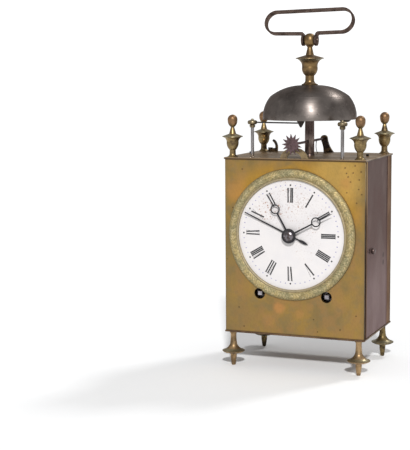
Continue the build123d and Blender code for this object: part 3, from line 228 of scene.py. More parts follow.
front = Finish("front_plate_brass", Metallic=0.72)
across, up = front.axis("X"), front.axis("Z")
from_dial = front.distance(DIAL_X, DIAL_Z)
cloud = front.noise(0.030, 4).fade(0.38, 0.62)
small_cloud = front.noise(0.011, 4, front.stretched(1, 1, 0.6)).fade(0.42, 0.60)
round_dial = from_dial.fade(0.074, BEZEL_OUT) * up.fade(0.120, 0.150)
round_dial = round_dial * front.noise(0.022, 2).fade(0.30, 0.50)
colour = front.mix(cloud, OLIVE, GOLD)
colour = front.mix(small_cloud * 0.55, colour, ROSE)
colour = front.mix(front.noise(0.007, 3).fade(0.50, 0.64) * 0.35, colour, (0.225, 0.172, 0.080))
for x, z, radius, strength, tint in BROAD_STAINS:
    colour = front.mix(front.stain(x, z, radius) * strength, colour, tint)
colour = front.mix(round_dial * 0.9, colour, ORANGE)
# A blotch at the upper right is drawn a brighter gold.
colour = front.mix(front.stain(*BRIGHT_CORNER) * 0.75, colour, BRIGHT_GOLD)
for x, z, radius, strength in COPPER_STAINS:
    colour = front.mix(front.stain(x, z, radius) * strength, colour, COPPER)
streak = front.noise(0.0016, 4, front.stretched(1, 1, 0.6)).fade(0.40, 0.66)
colour = front.mix(streak * 0.13, colour, (0.16, 0.105, 0.040))
edge = (PLATE_SIDE - abs(across)).fade(0.0039, 0.0005) * 0.5
colour = front.mix(edge, colour, OLIVE)
darkening = front.pits(0.009, 0.0009) * front.noise(0.02, 1).fade(0.52, 0.60) * 0.8
for x, z in DARK_SPOTS:
    darkening = darkening + front.stain(x, z, SPOT_R) * 0.65
# The lines along the foot and the head of the plate, and down its sides low down, are painted shade
# where it meets the base plate, the top plate and the posts.
darkening = darkening + up.fade(PLATE_FOOT + 0.0009, PLATE_FOOT + 0.0003) * 0.7
darkening = darkening + up.fade(PLATE_HEAD - 0.0010, PLATE_HEAD - 0.0003) * 0.7
sides = abs(across).fade(PLATE_SIDE - 0.00055, PLATE_SIDE - 0.00015) * up.fade(0.165, 0.140)
darkening = darkening + sides * 0.8
colour = front.mix(darkening, colour, SPOT_BROWN)
hammered = front.noise(0.016, 2) + 0.15 * front.noise(0.0012, 2, front.stretched(1, 1, 0.25))
front.set(
    Base_Color=colour,
    Roughness=0.32 + 0.18 * small_cloud + 0.2 * darkening,
    Normal=front.relief(hammered, 0.00035),
)
front.on("front_plate")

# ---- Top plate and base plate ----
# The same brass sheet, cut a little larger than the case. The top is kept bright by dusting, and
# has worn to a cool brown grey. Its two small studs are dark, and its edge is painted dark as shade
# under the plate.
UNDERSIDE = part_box("top_plate")[0].z
TOP_FACE = (UNDERSIDE + 0.0006, UNDERSIDE + 0.0011)  # the edge turns into the face
STUD_FOOT = (UNDERSIDE + 0.0017, UNDERSIDE + 0.0020)  # the face turns into a stud
plate = Finish("plate_brass", Metallic=0.9)
drift = plate.noise(0.025, 4, plate.stretched(0.5, 1.5, 1)).fade(0.35, 0.65)
face = plate.axis("Z").fade(*TOP_FACE)
stud = plate.axis("Z").fade(*STUD_FOOT)
colour = plate.mix(drift, (0.375, 0.262, 0.150), (0.275, 0.188, 0.108))
colour = plate.mix(plate.pits(0.011, 0.0010) * 0.7, colour, SPOT_BROWN)
# The edge below the face is painted dark: painted shade under the plate.
colour = plate.mix(face, (0.10, 0.062, 0.035), colour)
colour = plate.mix(stud, colour, (0.018, 0.014, 0.014))
plate.set(
    Base_Color=colour,
    Roughness=0.34 + 0.16 * drift,
    Normal=plate.relief(plate.noise(0.002, 2, plate.stretched(0.1, 1, 1)), 0.00006),
)
plate.on("top_plate")

base = Finish("base_brass", Metallic=0.75)
drift = base.noise(0.012, 4).fade(0.35, 0.65)
base.set(
    Base_Color=base.mix(drift, (0.20, 0.125, 0.065), (0.09, 0.055, 0.035)),
    Roughness=0.42 + 0.15 * drift,
    Normal=base.relief(drift, 0.0002),
)
base.on("base_plate")

# ---- Corner posts ----
# Brass bars behind the front plate and beside the rear door. A groove runs down the front pair,
# painted dark as shade, darker low down, and higher up the strip behind it is drawn pale.
GROOVE_Y, STRIP_Y, REAR_Y = (-0.0400, -0.0408), (-0.0372, -0.0390), (0.0385, 0.0400)
BROWN_SHEEN = (0.62, 0.50, 0.42, 1.0)
post = Finish("post_brass", Metallic=0.8, Specular_IOR_Level=0.15, Specular_Tint=BROWN_SHEEN)
drift = post.noise(0.014, 4, post.stretched(1, 1, 0.3)).fade(0.35, 0.65)
depth, up = post.axis("Y"), post.axis("Z")
colour = post.mix(drift, (0.20, 0.125, 0.085), (0.13, 0.080, 0.058))
# Higher up, the strip behind the groove is drawn pale.
pale_patch = depth.fade(*STRIP_Y) * up.fade(0.130, 0.165)
colour = post.mix(pale_patch * 0.85, colour, (0.46, 0.33, 0.18))
colour = post.mix(depth.fade(*REAR_Y) * 0.7, colour, (0.105, 0.068, 0.042))
# Painted shade in the groove, darker low down.
groove_shade = depth.fade(*GROOVE_Y) * (0.30 + 0.70 * up.fade(0.160, 0.140))
colour = post.mix(groove_shade, colour, (0.025, 0.016, 0.010))
post.set(Base_Color=colour, Roughness=0.34 + 0.2 * drift, Normal=post.relief(drift, 0.0001))
post.on("corner_posts")

# ---- Doors ----
# Thin brass sheet on a wired edge. It has turned a cool purple brown inside and out, with rubbed
# places and a few small dark marks. Its colour is drawn paler and rosier towards the feet.
PURPLE_SHEEN = (0.80, 0.69, 0.66, 1.0)
DOOR_MARKS = (  # Y, Z, radius and radius of the dark middle
    (0.018, 0.0990, 0.0032, 0.0016),
    (0.018, 0.0922, 0.0032, 0.0016),
    (-0.030, 0.1087, 0.0030, 0.0015),
)
door = Finish("door_brass", Metallic=0.7, Specular_IOR_Level=0.15, Specular_Tint=PURPLE_SHEEN)
cloud = door.noise(0.035, 4, door.stretched(1, 1, 0.6)).fade(0.35, 0.68)
rub = door.noise(0.010, 4, door.stretched(1, 1, 0.35)).fade(0.50, 0.72)
# The sheet is drawn paler and rosier towards the feet.
low = (door.axis("Z") + 0.02 * (door.noise(0.03, 2) - 0.5)).fade(0.125, 0.065)
colour = door.mix(cloud, (0.064, 0.039, 0.034), (0.104, 0.065, 0.059))
colour = door.mix(low, colour, (0.180, 0.128, 0.127))
colour = door.mix(rub * 0.35, colour, (0.15, 0.098, 0.085))
darkening = door.pits(0.010, 0.0009) * door.noise(0.03, 1).fade(0.50, 0.58) * 0.7
for y, z, radius, middle in DOOR_MARKS:
    darkening = darkening + door.distance(y, z, "Y").fade(radius, middle) * 0.8
colour = door.mix(darkening, colour, (0.014, 0.009, 0.008))
door.set(
    Base_Color=colour,
    Roughness=0.38 + 0.14 * cloud,
    Normal=door.relief(door.noise(0.02, 2), 0.0003),
)
door.on("left_door", "right_door", "rear_door")

knob = Finish("door_knob_brown", Metallic=0.75)
worn = knob.noise(0.0016, 3).fade(0.45, 0.65)
knob.set(
    Base_Color=knob.mix(worn, (0.060, 0.040, 0.038), (0.20, 0.14, 0.125)),
    Roughness=0.34 + 0.15 * worn,
    Normal=knob.relief(worn, 0.00004),
)
knob.on("left_door_catch", "right_door_catch")

# ---- Feet, finials, urn and hammer beads ----
# Cast in brass and turned on a lathe, so they carry fine rings. All have gone olive brown, the eggs
# and the front feet nearer to copper, with greenish dirt on the lips of the cups. The rear feet
# take a much darker brass: painted shade.


def turned_brass(name, light, dark, bands=()):
    """Brown brass. A band is a height, half its width in metres, and the colour it has there."""
    finish = Finish(name, Metallic=0.85)
    blotch = finish.noise(0.007, 3).fade(0.36, 0.64)
    fleck = finish.noise(0.0016, 3).fade(0.52, 0.70)
    rings = finish.noise(0.0011, 1, finish.stretched(0.02, 0.02, 1))
    colour = finish.mix(blotch, light, dark)
    for height, half, tint in bands:
        here = abs(finish.axis("Z") - height).fade(half, 0.6 * half)
        colour = finish.mix(here * (1.0 - 0.5 * blotch), colour, tint)
    colour = finish.mix(fleck * 0.4, colour, (0.055, 0.040, 0.025))
    finish.set(
        Base_Color=colour,
        Roughness=0.36 + 0.16 * blotch + 0.1 * fleck,
        Normal=finish.relief(rings, 0.00006),
    )
    return finish


GREEN_GREY = (0.30, 0.26, 0.16)
COPPER_BROWN = (0.28, 0.155, 0.080)
bands = [(0.0145, 0.0012, GREEN_GREY)]
front_foot = turned_brass("front_foot_brass", (0.40, 0.265, 0.135), (0.19, 0.125, 0.064), bands)
front_foot.on("foot_front_left", "foot_front_right")
# The rear feet get a darker copy of the brass, as painted shade.
shaded_rear_foot = turned_brass("rear_foot_brass", (0.24, 0.172, 0.072), (0.045, 0.033, 0.018), bands)
shaded_rear_foot.on("foot_rear_left", "foot_rear_right")
bands = [(0.2083, 0.0012, GREEN_GREY), (0.2230, 0.0060, COPPER_BROWN)]
finial_brass = turned_brass("finial_brass", (0.30, 0.215, 0.095), (0.115, 0.078, 0.040), bands)
finial_brass.on("finial_front_left", "finial_front_right", "finial_rear_left", "finial_rear_right")
bands = [(0.2505, 0.0020, GREEN_GREY), (0.2750, 0.0012, GREEN_GREY)]
urn_brass = turned_brass("urn_brass", (0.240, 0.152, 0.064), (0.125, 0.080, 0.038), bands)
urn_brass.on("bell_urn")
bead_brass = turned_brass("bead_brass", (0.30, 0.245, 0.150), (0.13, 0.100, 0.060))
bead_brass.on("strike_hammer_bead", "alarm_hammer_bead")

# ---- Bell ----
# Bell metal, cast thick at the rim and turned inside and out, which left fine rings that
# draw its shine out up and down. It has darkened to a warm brown grey.
QUARTER_TURN = 0.25  # sets the shine across the rings
GREY_SHEEN = (0.6, 0.56, 0.54, 1.0)
bell = Finish("bell_metal", Metallic=1.0, Anisotropic=0.55, Specular_Tint=GREY_SHEEN)
bell.set(Anisotropic_Rotation=QUARTER_TURN)
film = bell.noise(0.016, 4).fade(0.35, 0.7)
streaks = bell.noise(0.0016, 3, bell.stretched(0.03, 0.03, 1))
colour = bell.mix(film, (0.198, 0.172, 0.157), (0.108, 0.092, 0.084))
colour = bell.mix(bell.noise(0.003, 3).fade(0.55, 0.72) * 0.35, colour, (0.30, 0.255, 0.23))
colour = bell.mix(bell.pits(0.010, 0.0006) * 0.8, colour, (0.05, 0.04, 0.035))
bell.set(
    Base_Color=colour,
    Roughness=0.32 + 0.06 * film + 0.06 * streaks,
    Normal=bell.relief(streaks, 0.00005),
)
bell.on("bell")

# ---- Bell post ----
# A turned brass rod, browned, with a cross hole for the regulator arbor. Just under the hole the
# rod is lightened: a painted highlight.
HIGHLIGHT_Z = pivot["regulator"][2] - 0.0018
pillar = Finish("bell_post_brass", Metallic=0.9, Specular_Tint=(0.55, 0.47, 0.44, 1.0))
lengthwise = pillar.stretched(1, 1, 0.3)
stain = pillar.noise(0.01, 3, lengthwise).fade(0.4, 0.65)
colour = pillar.mix(stain, (0.10, 0.070, 0.062), (0.045, 0.030, 0.027))
# The lighter place under the cross hole is a painted highlight.
pale_patch = abs(pillar.axis("Z") - HIGHLIGHT_Z).fade(0.012, 0.002)
pale_patch = pale_patch * pillar.noise(0.004, 3, lengthwise).fade(0.42, 0.6)
pillar.set(
    Base_Color=pillar.mix(pale_patch * 0.8, colour, (0.34, 0.27, 0.24)),
    Roughness=0.24 + 0.15 * stain,
    Normal=pillar.relief(stain, 0.00006),
)
pillar.on("bell_post")

# ---- Handle ----
# Wrought iron strap, bent hot round a former and browned, with the marks of the hammer
# left in it. It turns on an iron pin through the ball on the urn.
IRON_SHEEN = (0.78, 0.66, 0.60, 1.0)
iron = Finish("handle_iron", Metallic=0.8, Specular_IOR_Level=0.2, Specular_Tint=IRON_SHEEN)
scale = iron.noise(0.006, 5).fade(0.35, 0.7)
iron.set(
    Base_Color=iron.mix(scale, (0.120, 0.084, 0.069), (0.045, 0.031, 0.026)),
    Roughness=0.38 + 0.2 * scale,
    Normal=iron.relief(iron.noise(0.005, 3), 0.00025),
)
iron.on("handle", "handle_pin")

# ---- Pendulum regulator and roof latch ----
# The star wheel and its arbor are steel with an old purple rust. They run in a brass cock
# in front and an iron one behind. The latch at the rear left of the top plate is iron too.
rusty = Finish("regulator_steel", Metallic=0.55)
bloom = rusty.noise(0.003, 4).fade(0.4, 0.65)
rusty.set(
    Base_Color=rusty.mix(bloom, (0.115, 0.07, 0.075), (0.06, 0.036, 0.036)),
    Roughness=0.45 + 0.2 * bloom,
    Normal=rusty.relief(rusty.noise(0.0015, 4), 0.00015),
)
rusty.on("star_wheel", "regulator_arbor")
soot = Finish("cock_iron", Metallic=0.6)
rust = soot.noise(0.003, 4).fade(0.45, 0.65)
soot.set(
    Base_Color=soot.mix(rust, (0.040, 0.027, 0.022), (0.24, 0.155, 0.075)),
    Roughness=0.40 + 0.2 * rust,
    Normal=soot.relief(soot.noise(0.0015, 4), 0.00012),
)
soot.on("rear_cock", "roof_latch")
cock_brass = turned_brass("cock_brass", (0.32, 0.235, 0.125), (0.19, 0.140, 0.085))
cock_brass.on("front_cock")

# ---- Hammers ----
# Polished steel arbors that turn in the top plate, with arms forged thin and left darker
# than the arbor. A turned brass bead sits on each arbor.
ARM_FOOT = (0.2160, 0.2172)  # heights between which the arbor turns into the arm
steel = Finish("hammer_steel", Metallic=1.0)
arbor_side = steel.noise(0.004, 3, steel.stretched(1, 1, 0.15)).fade(0.4, 0.7)
arm = steel.axis("Z").fade(*ARM_FOOT)
colour = steel.mix(arbor_side, (0.36, 0.345, 0.345), (0.17, 0.158, 0.155))
colour = steel.mix(arm, colour, (0.07, 0.06, 0.055))
steel.set(
    Base_Color=colour,
    Roughness=0.24 + 0.12 * arbor_side + 0.15 * arm,
    Normal=steel.relief(arbor_side, 0.00004),
)
steel.on("strike_hammer", "alarm_hammer")

# ---- Silk thread ----
# Two plies of silk twisted together. They hang a little slack from the arbor of the
# regulator to the pendulum.
silk = Finish("silk", Roughness=0.7, Sheen_Weight=0.4)
fibre = silk.noise(0.0004, 3, silk.stretched(1, 1, 0.3)).fade(0.35, 0.65)
silk.set(
    Base_Color=silk.mix(fibre, (0.13, 0.10, 0.085), (0.045, 0.036, 0.032)),
    Normal=silk.relief(fibre, 0.00006),
)

LINE = (  # X and Z of the middle of the thread, from the arbor down to the pendulum
    (-0.00138, 0.2022),
    (-0.0019, 0.1985),
    (-0.0021, 0.1950),
    (-0.0015, 0.1915),
    (-0.0004, 0.1890),
    (0.0, 0.1864),
)
THREAD_Y = pivot["pendulum"][1]
PLY_R = 0.00025
PLY_OFF = 0.00020  # from the middle of the thread to the middle of a ply
TWIST = 0.0018  # length of one turn
PLY_SIDES, LINE_STEPS = 8, 14


def thread_line(steps):
    """Points on a smooth line through LINE, as (X, Z). Each of its parts is cut into steps."""
    ends = [LINE[0], *LINE, LINE[-1]]
    points = []
    for before, start, end, after in zip(ends, ends[1:], ends[2:], ends[3:]):
        for k in range(steps):
            u = k / steps
            point = []
            for a, b, c, d in zip(before, start, end, after):
                square, cube = 2 * a - 5 * b + 4 * c - d, 3 * b - a - 3 * c + d
                point.append(0.5 * (2 * b + (c - a) * u + square * u**2 + cube * u**3))
            points.append(tuple(point))
    return points + [LINE[-1]]


def put_in_scene(name, mesh):
    """Turns a finished bmesh into an object of the scene."""
    data = bpy.data.meshes.new(name)
    mesh.to_mesh(data)
    mesh.free()
    piece = bpy.data.objects.new(name, data)
    bpy.context.scene.collection.objects.link(piece)
    return piece


mesh = bmesh.new()
for start in (0.0, math.pi):
    rings, run, last = [], 0.0, None
    for x, z in thread_line(LINE_STEPS):
        run += math.hypot(x - last[0], z - last[1]) if last else 0.0
        last = (x, z)
        turn = start + 2 * math.pi * run / TWIST
        centre = Vector((x + PLY_OFF * math.cos(turn), THREAD_Y + PLY_OFF * math.sin(turn), z))
        ring = []
        for k in range(PLY_SIDES):
            a = 2 * math.pi * k / PLY_SIDES
            offset = Vector((PLY_R * math.cos(a), PLY_R * math.sin(a), 0))
            ring.append(mesh.verts.new(centre + offset))
        rings.append(ring)
    for near, far in zip(rings, rings[1:]):
        for k in range(PLY_SIDES):
            n = (k + 1) % PLY_SIDES
            mesh.faces.new((near[k], near[n], far[n], far[k]))
    mesh.faces.new(rings[0])
    mesh.faces.new(rings[-1][::-1])
bmesh.ops.recalc_face_normals(mesh, faces=mesh.faces)
thread = put_in_scene("twisted_thread", mesh)
smooth(thread, angle=60.0)
thread.data.materials.append(silk.material)
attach(thread, "case")
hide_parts("silk_thread")

# ---- Movement ----
# Plates, barrels and wheels of pale yellow brass, brushed and lacquered, on arbors and
# pinions of steel.


JOIN = 0.0001  # half the width of the change from steel to brass


def wheel_finish(body, steel_radius, *pieces):
    """Brass further from the body's arbor than steel_radius, steel nearer."""
    x, _, z = pivot[body]
    finish = Finish(f"{pieces[0]}_finish", Metallic=1.0)
    brass_part = finish.distance(x, z).fade(steel_radius - JOIN, steel_radius + JOIN)
    grain = finish.noise(0.004, 4).fade(0.3, 0.7)
    brass = finish.mix(grain, (0.58, 0.40, 0.16), (0.42, 0.28, 0.11))
    finish.set(
        Base_Color=finish.mix(brass_part, (0.40, 0.39, 0.38), brass),
        Roughness=0.26 + 0.16 * grain,
        Normal=finish.relief(grain, 0.00004),
    )
    finish.on(*pieces)


movement = Finish("movement_brass", Metallic=0.95)
grain = movement.noise(0.02, 5).fade(0.3, 0.7)
brushed = movement.noise(0.0009, 2, movement.stretched(1, 1, 0.05))
movement.set(
    Base_Color=movement.mix(grain, (0.52, 0.36, 0.15), (0.36, 0.24, 0.10)),
    Roughness=0.3 + 0.12 * grain,
    Normal=movement.relief(brushed, 0.00003),
)
movement.on("movement_front_plate", "movement_back_plate", "movement_pillars")
movement.on("pendulum_bob", "count_wheel")
WHEELS = (  # the body they turn with, radius of the steel, and the pieces
    ("going_barrel", 0.0031, "going_barrel"),
    ("strike_barrel", 0.0031, "strike_barrel"),
    ("intermediate_wheel", 0.0054, "intermediate_wheel"),
    ("minute_hand", 0.0054, "centre_wheel", "cannon_pinion", "hour_wheel"),
    ("third_wheel", 0.0024, "third_wheel"),
    ("escape_wheel", 0.0023, "escape_wheel"),
    ("pin_wheel", 0.0058, "pin_wheel"),
    ("locking_wheel", 0.0036, "locking_wheel"),
    ("fly", 0.0024, "fly"),
    ("minute_wheel", 0.0015, "minute_wheel"),
)
for wheel in WHEELS:
    wheel_finish(*wheel)

bright = Finish("movement_steel", Metallic=1.0)
grain = bright.noise(0.003, 3).fade(0.35, 0.7)
bright.set(
    Base_Color=bright.mix(grain, (0.50, 0.47, 0.50), (0.30, 0.28, 0.30)),
    Roughness=0.3 + 0.15 * grain,
    Normal=bright.relief(grain, 0.00004),
)
bright.on("going_winding_arbor", "strike_winding_arbor", "click_springs", "pallets", "pendulum_rod")

# ---- Dial ----
# White enamel fired on copper, slightly domed. Rust has come through the glaze in a few
# fields of fine speckles, with some larger craters.
enamel = Finish("dial_enamel", Coat_Weight=0.3, Coat_Roughness=0.08)
RUST_FIELDS = (  # X, Z, radius and strength
    (-0.0025, 0.1560, 0.024, 0.7),
    (0.0130, 0.1420, 0.024, 0.6),
    (0.0100, 0.1150, 0.020, 0.4),
)
field = enamel.stain(-0.0230, 0.1435, 0.019)
for x, z, radius, strength in RUST_FIELDS:
    field = field + enamel.stain(x, z, radius) * strength
speckle = (enamel.noise(0.0013, 3).fade(0.54, 0.66) + enamel.pits(0.0021, 0.00042)) * field
crater = enamel.pits(0.0040, 0.00075) * field
crater = crater + enamel.pits(0.0029, 0.00085) * enamel.stain(-0.0245, 0.1425, 0.013)
milky = enamel.noise(0.012, 3).fade(0.3, 0.7)
colour = enamel.mix(milky, (0.685, 0.655, 0.645), (0.655, 0.63, 0.63))
colour = enamel.mix(speckle * 0.5, colour, (0.36, 0.27, 0.24))
colour = enamel.mix(crater * 0.9, colour, (0.34, 0.17, 0.10))
enamel.set(
    Base_Color=colour,
    Roughness=0.28 + 0.2 * crater,
    Normal=enamel.relief(enamel.noise(0.012, 2), 0.00008),
)
enamel.on("dial")

# ---- Numerals and minute dots ----
# Roman numerals with a heavy and a hair stroke, painted on the enamel in black, their
# feet to the centre. A black dot stands over each hour, and paler dots mark the minutes.
DOME = ((0.0041, -0.0482), (0.0280, -0.0477), (0.0498, -0.0463))  # radius and Y of three points


def dome_y(radius):
    """Where the face of the dial is, at a distance from its centre."""
    (r0, y0), (r1, y1), (r2, y2) = DOME
    return (
        y0 * (radius - r1) * (radius - r2) / ((r0 - r1) * (r0 - r2))
        + y1 * (radius - r0) * (radius - r2) / ((r1 - r0) * (r1 - r2))
        + y2 * (radius - r0) * (radius - r1) / ((r2 - r0) * (r2 - r1))
    )


PAINT = 0.00006  # how far the paint stands off the enamel, and how far it sinks in
RING_X, RING_Z = DIAL_X - 0.0003, DIAL_Z + 0.0005  # the painter's centre, a little off
STEM, LONE_STEM, HAIR = 0.00120, 0.00135, 0.00022  # widths of strokes
LONE = (1, 5, 10)  # the hours with a single heavy stroke
SERIF_HALF, SERIF_SHARE = 0.0009, 0.02  # half its length, and its share of the height
FOOT_R, HEAD_R = 0.0284, 0.0412  # the numerals stand between these radii
HEAVY = {  # foot and head of each heavy stroke, clockwise from the line to the hour
    1: [(0.0, 0.0)],
    2: [(-0.00075, -0.00075), (0.00075, 0.00075)],
    3: [(-0.00145, -0.00145), (0.0, 0.0), (0.00145, 0.00145)],
    4: [(-0.00226, -0.00226), (-0.00076, -0.00076), (0.00076, 0.00076), (0.00226, 0.00226)],
    5: [(0.0006, -0.0014)],
    6: [(-0.00065, -0.0015), (0.0018, 0.0018)],
    7: [(-0.0015, -0.0021), (0.0007, 0.0007), (0.0027, 0.0027)],
    8: [(-0.00185, -0.00265), (0.0003, 0.0003), (0.00175, 0.00175), (0.0032, 0.0032)],
    9: [(-0.0008, -0.0008), (0.0023, 0.0012)],
    10: [(0.0006, -0.0012)],
    11: [(-0.0007, -0.0016), (0.0012, 0.0012)],
    12: [(-0.0018, -0.0022), (0.0006, 0.0006), (0.0020, 0.0020)],
}
FINE = {  # the same for the hair strokes of V and X
    5: [(0.0009, 0.0019)],
    6: [(-0.0003, 0.0006)],
    7: [(-0.0012, -0.0005)],
    8: [(-0.0015, -0.0010)],
    9: [(0.0010, 0.0025)],
    10: [(-0.0012, 0.0010)],
    11: [(-0.0018, -0.0001)],
    12: [(-0.0026, -0.0010)],
}


def stroke(x0, x1, width):
    """Stroke from its foot at x0 to its head at x1, as corners (across, share of the height)."""
    half = width / 2
    return [(x0 - half, 0.0), (x0 + half, 0.0), (x1 + half, 1.0), (x1 - half, 1.0)]


def serif(middle, low):
    """Short bar across the end of a stroke, as corners like those of a stroke."""
    left, right, high = middle - SERIF_HALF, middle + SERIF_HALF, low + SERIF_SHARE
    return [(left, low), (right, low), (right, high), (left, high)]


def painted(name, outlines, finish):
    """Thin closed shapes on the dome. An outline is a list of (x, z) about the painter's centre."""
    mesh = bmesh.new()
    for outline in outlines:
        places = [(RING_X + x, RING_Z + z) for x, z in outline]
        faces = [(x, dome_y(math.hypot(x - DIAL_X, z - DIAL_Z)), z) for x, z in places]
        front_face = [mesh.verts.new((x, y - PAINT, z)) for x, y, z in faces]
        back_face = [mesh.verts.new((x, y + PAINT, z)) for x, y, z in faces]
        mesh.faces.new(front_face)
        mesh.faces.new(back_face[::-1])
        for k in range(len(outline)):
            n = (k + 1) % len(outline)
            mesh.faces.new((front_face[n], front_face[k], back_face[k], back_face[n]))
    bmesh.ops.recalc_face_normals(mesh, faces=mesh.faces)
    piece = put_in_scene(name, mesh)
    piece.data.materials.append(finish.material)
    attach(piece, "case")


def spoke(hour, across, out):
    """Point on the dial, across and out from the centre on the line to an hour."""
    cos, sin = math.cos(math.radians(30 * hour)), math.sin(math.radians(30 * hour))
    return across * cos + out * sin, out * cos - across * sin


ink = Finish("numeral_black", Roughness=0.35)
wear = ink.noise(0.0015, 3).fade(0.45, 0.8)
ink.set(Base_Color=ink.mix(wear * 0.6, (0.02, 0.02, 0.022), (0.10, 0.095, 0.09)))
marks = []
for hour, strokes in HEAVY.items():
    width = LONE_STEM if hour in LONE else STEM
    shapes = [stroke(foot, head, width) for foot, head in strokes]
    shapes += [stroke(foot, head, HAIR) for foot, head in FINE.get(hour, [])]
    shapes += [serif(head, 1 - SERIF_SHARE) for foot, head in strokes]
    shapes += [serif(foot, 0.0) for foot, head in strokes if foot == head]
    for shape in shapes:
        marks.append([spoke(hour, x, FOOT_R + share * (HEAD_R - FOOT_R)) for x, share in shape])


def dot(angle, out, radius, sides=12):
    """Round dot at an angle from the top of the dial."""
    x, z = out * math.sin(angle), out * math.cos(angle)
    turns = [2 * math.pi * k / sides for k in range(sides)]
    return [(x + radius * math.cos(turn), z + radius * math.sin(turn)) for turn in turns]


HOUR_DOT_R, MINUTE_DOT_R, DOTS_AT = 0.00078, 0.00052, 0.0436
marks += [dot(math.radians(30 * hour), DOTS_AT, HOUR_DOT_R) for hour in range(12)]
painted("numerals", marks, ink)

faint = Finish("minute_blue", Roughness=0.35)
wear = faint.noise(0.004, 2).fade(0.3, 0.7)
faint.set(Base_Color=faint.mix(wear, (0.16, 0.155, 0.36), (0.36, 0.345, 0.52)))
between = [math.radians(6 * minute) for minute in range(60) if minute % 5]
dots = [dot(angle, DOTS_AT, MINUTE_DOT_R, sides=8) for angle in between]
painted("minute_dots", dots, faint)

# ---- Bezel ----
# Thin brass stamped with a band of laurel leaves between two beads, and gilt. Dirt lies
# between the leaves, with a green tinge.
SECTION = [  # radius and Y of the band, from the foot inside to the foot outside
    (0.0501, -0.0450),
    (0.0501, -0.0465),
    (0.0487, -0.0465),
    (0.0487, -0.0476),
    (0.0490, -0.0483),
    (0.0498, -0.0486),
    (0.0505, -0.0483),
    (0.0509, -0.0476),
    (0.0515, -0.0481),
    (0.0524, -0.0484),
    (0.0537, -0.0486),
    (0.0549, -0.0486),
    (0.0561, -0.0483),
    (0.0571, -0.04775),
    (0.0578, -0.0471),
    (0.0582, -0.0464),
    (0.0584, -0.0457),
    (0.0584, -0.0450),
]
LEAVES_ROUND = 130
LEAF_IN, LEAF_OUT = 0.0513, 0.0579  # the leaves lie between these radii
INNER_BEAD, OUTER_BEAD = 0.0508, 0.0582  # beyond these the beads have their own colours
LEAF_HEIGHT = 0.00018
LEAF_SUNK = 0.75  # share of the height that is stamped below the line of SECTION
LEAN = 1.25  # a tip lies this many leaves round from its foot
STEM_HALF, RIB_SPREAD = 0.16, 0.02
WAVES = 37  # the stamping is uneven in this many places round the band
BEADS = 0.8  # the value that keeps dirt off the two beads


def leaf_relief(angle, radius):
    """Height of two rows of leaves on one stem, from 0 in the ground to 1 on a midrib."""
    side = 2 * (radius - LEAF_IN) / (LEAF_OUT - LEAF_IN) - 1
    along = (angle * LEAVES_ROUND / (2 * math.pi) + LEAN * abs(side)) % 1.0
    bed = max(0.0, 1 - side * side)
    blade = max(0.0, 1 - abs(2 * along - 1) ** 1.6) * bed**0.5
    rib = math.exp(-((2 * along - 1) ** 2) / RIB_SPREAD) * bed
    stem = math.exp(-((side / STEM_HALF) ** 2))
    uneven = 0.84 + 0.16 * math.sin(WAVES * angle)
    return min(1.0, max(0.72 * blade + 0.28 * rib, 0.9 * stem)) * uneven


def fine(section, step):
    """The section with points added, so that none are further apart than step."""
    points = [section[0]]
    for (r0, y0), (r1, y1) in zip(section, section[1:]):
        parts = max(1, math.ceil(math.hypot(r1 - r0, y1 - y0) / step))
        for k in range(1, parts + 1):
            points.append((r0 + (r1 - r0) * k / parts, y0 + (y1 - y0) * k / parts))
    return points


AROUND = LEAVES_ROUND * 8  # eight rows of points to a leaf
STEP = 0.00050  # the longest from point to point in a row
band = bmesh.new()
height_layer = band.verts.layers.float.new("leaf_height")
rows = []
for k in range(AROUND):
    angle = 2 * math.pi * k / AROUND
    row = []
    for radius, y in fine(SECTION, STEP):
        height, lift = BEADS, 0.0
        if LEAF_IN < radius < LEAF_OUT:
            height = leaf_relief(angle, radius)
            lift = LEAF_HEIGHT * (height - LEAF_SUNK)
        x, z = DIAL_X + radius * math.cos(angle), DIAL_Z + radius * math.sin(angle)
        vert = band.verts.new((x, y - lift, z))
        vert[height_layer] = height
        row.append(vert)
    rows.append(row)
for k in range(AROUND):
    near, far = rows[k], rows[(k + 1) % AROUND]
    for n in range(len(near)):
        m = (n + 1) % len(near)
        band.faces.new((near[n], near[m], far[m], far[n]))
bmesh.ops.recalc_face_normals(band, faces=band.faces)
bezel_leaves = put_in_scene("bezel_leaves", band)

WINDER_HOLE = 0.005  # radius
CUT_Y, CUT_DEPTH = -0.048, 0.02  # middle and depth of the cut


def cut_away(piece, x, z, radius):
    """Cuts a round hole from front to back through a piece."""
    mesh = bmesh.new()
    place = Matrix.Translation((x, CUT_Y, z)) @ Matrix.Rotation(math.pi / 2, 4, "X")
    size = {"segments": 64, "radius1": radius, "radius2": radius, "depth": CUT_DEPTH}
    bmesh.ops.create_cone(mesh, cap_ends=True, matrix=place, **size)
    cutter = put_in_scene("cutter", mesh)
    hole = piece.modifiers.new("hole", "BOOLEAN")
    hole.operation, hole.object, hole.solver = "DIFFERENCE", cutter, "EXACT"
    evaluated = piece.evaluated_get(bpy.context.evaluated_depsgraph_get())
    shaped = bpy.data.meshes.new_from_object(evaluated)
    piece.modifiers.clear()
    piece.data = shaped
    bpy.data.objects.remove(cutter)


for winder in ("going_winder", "strike_winder"):
    x, _, z = pivot[winder]
    cut_away(bezel_leaves, x, z, WINDER_HOLE)
smooth(bezel_leaves, angle=50.0)

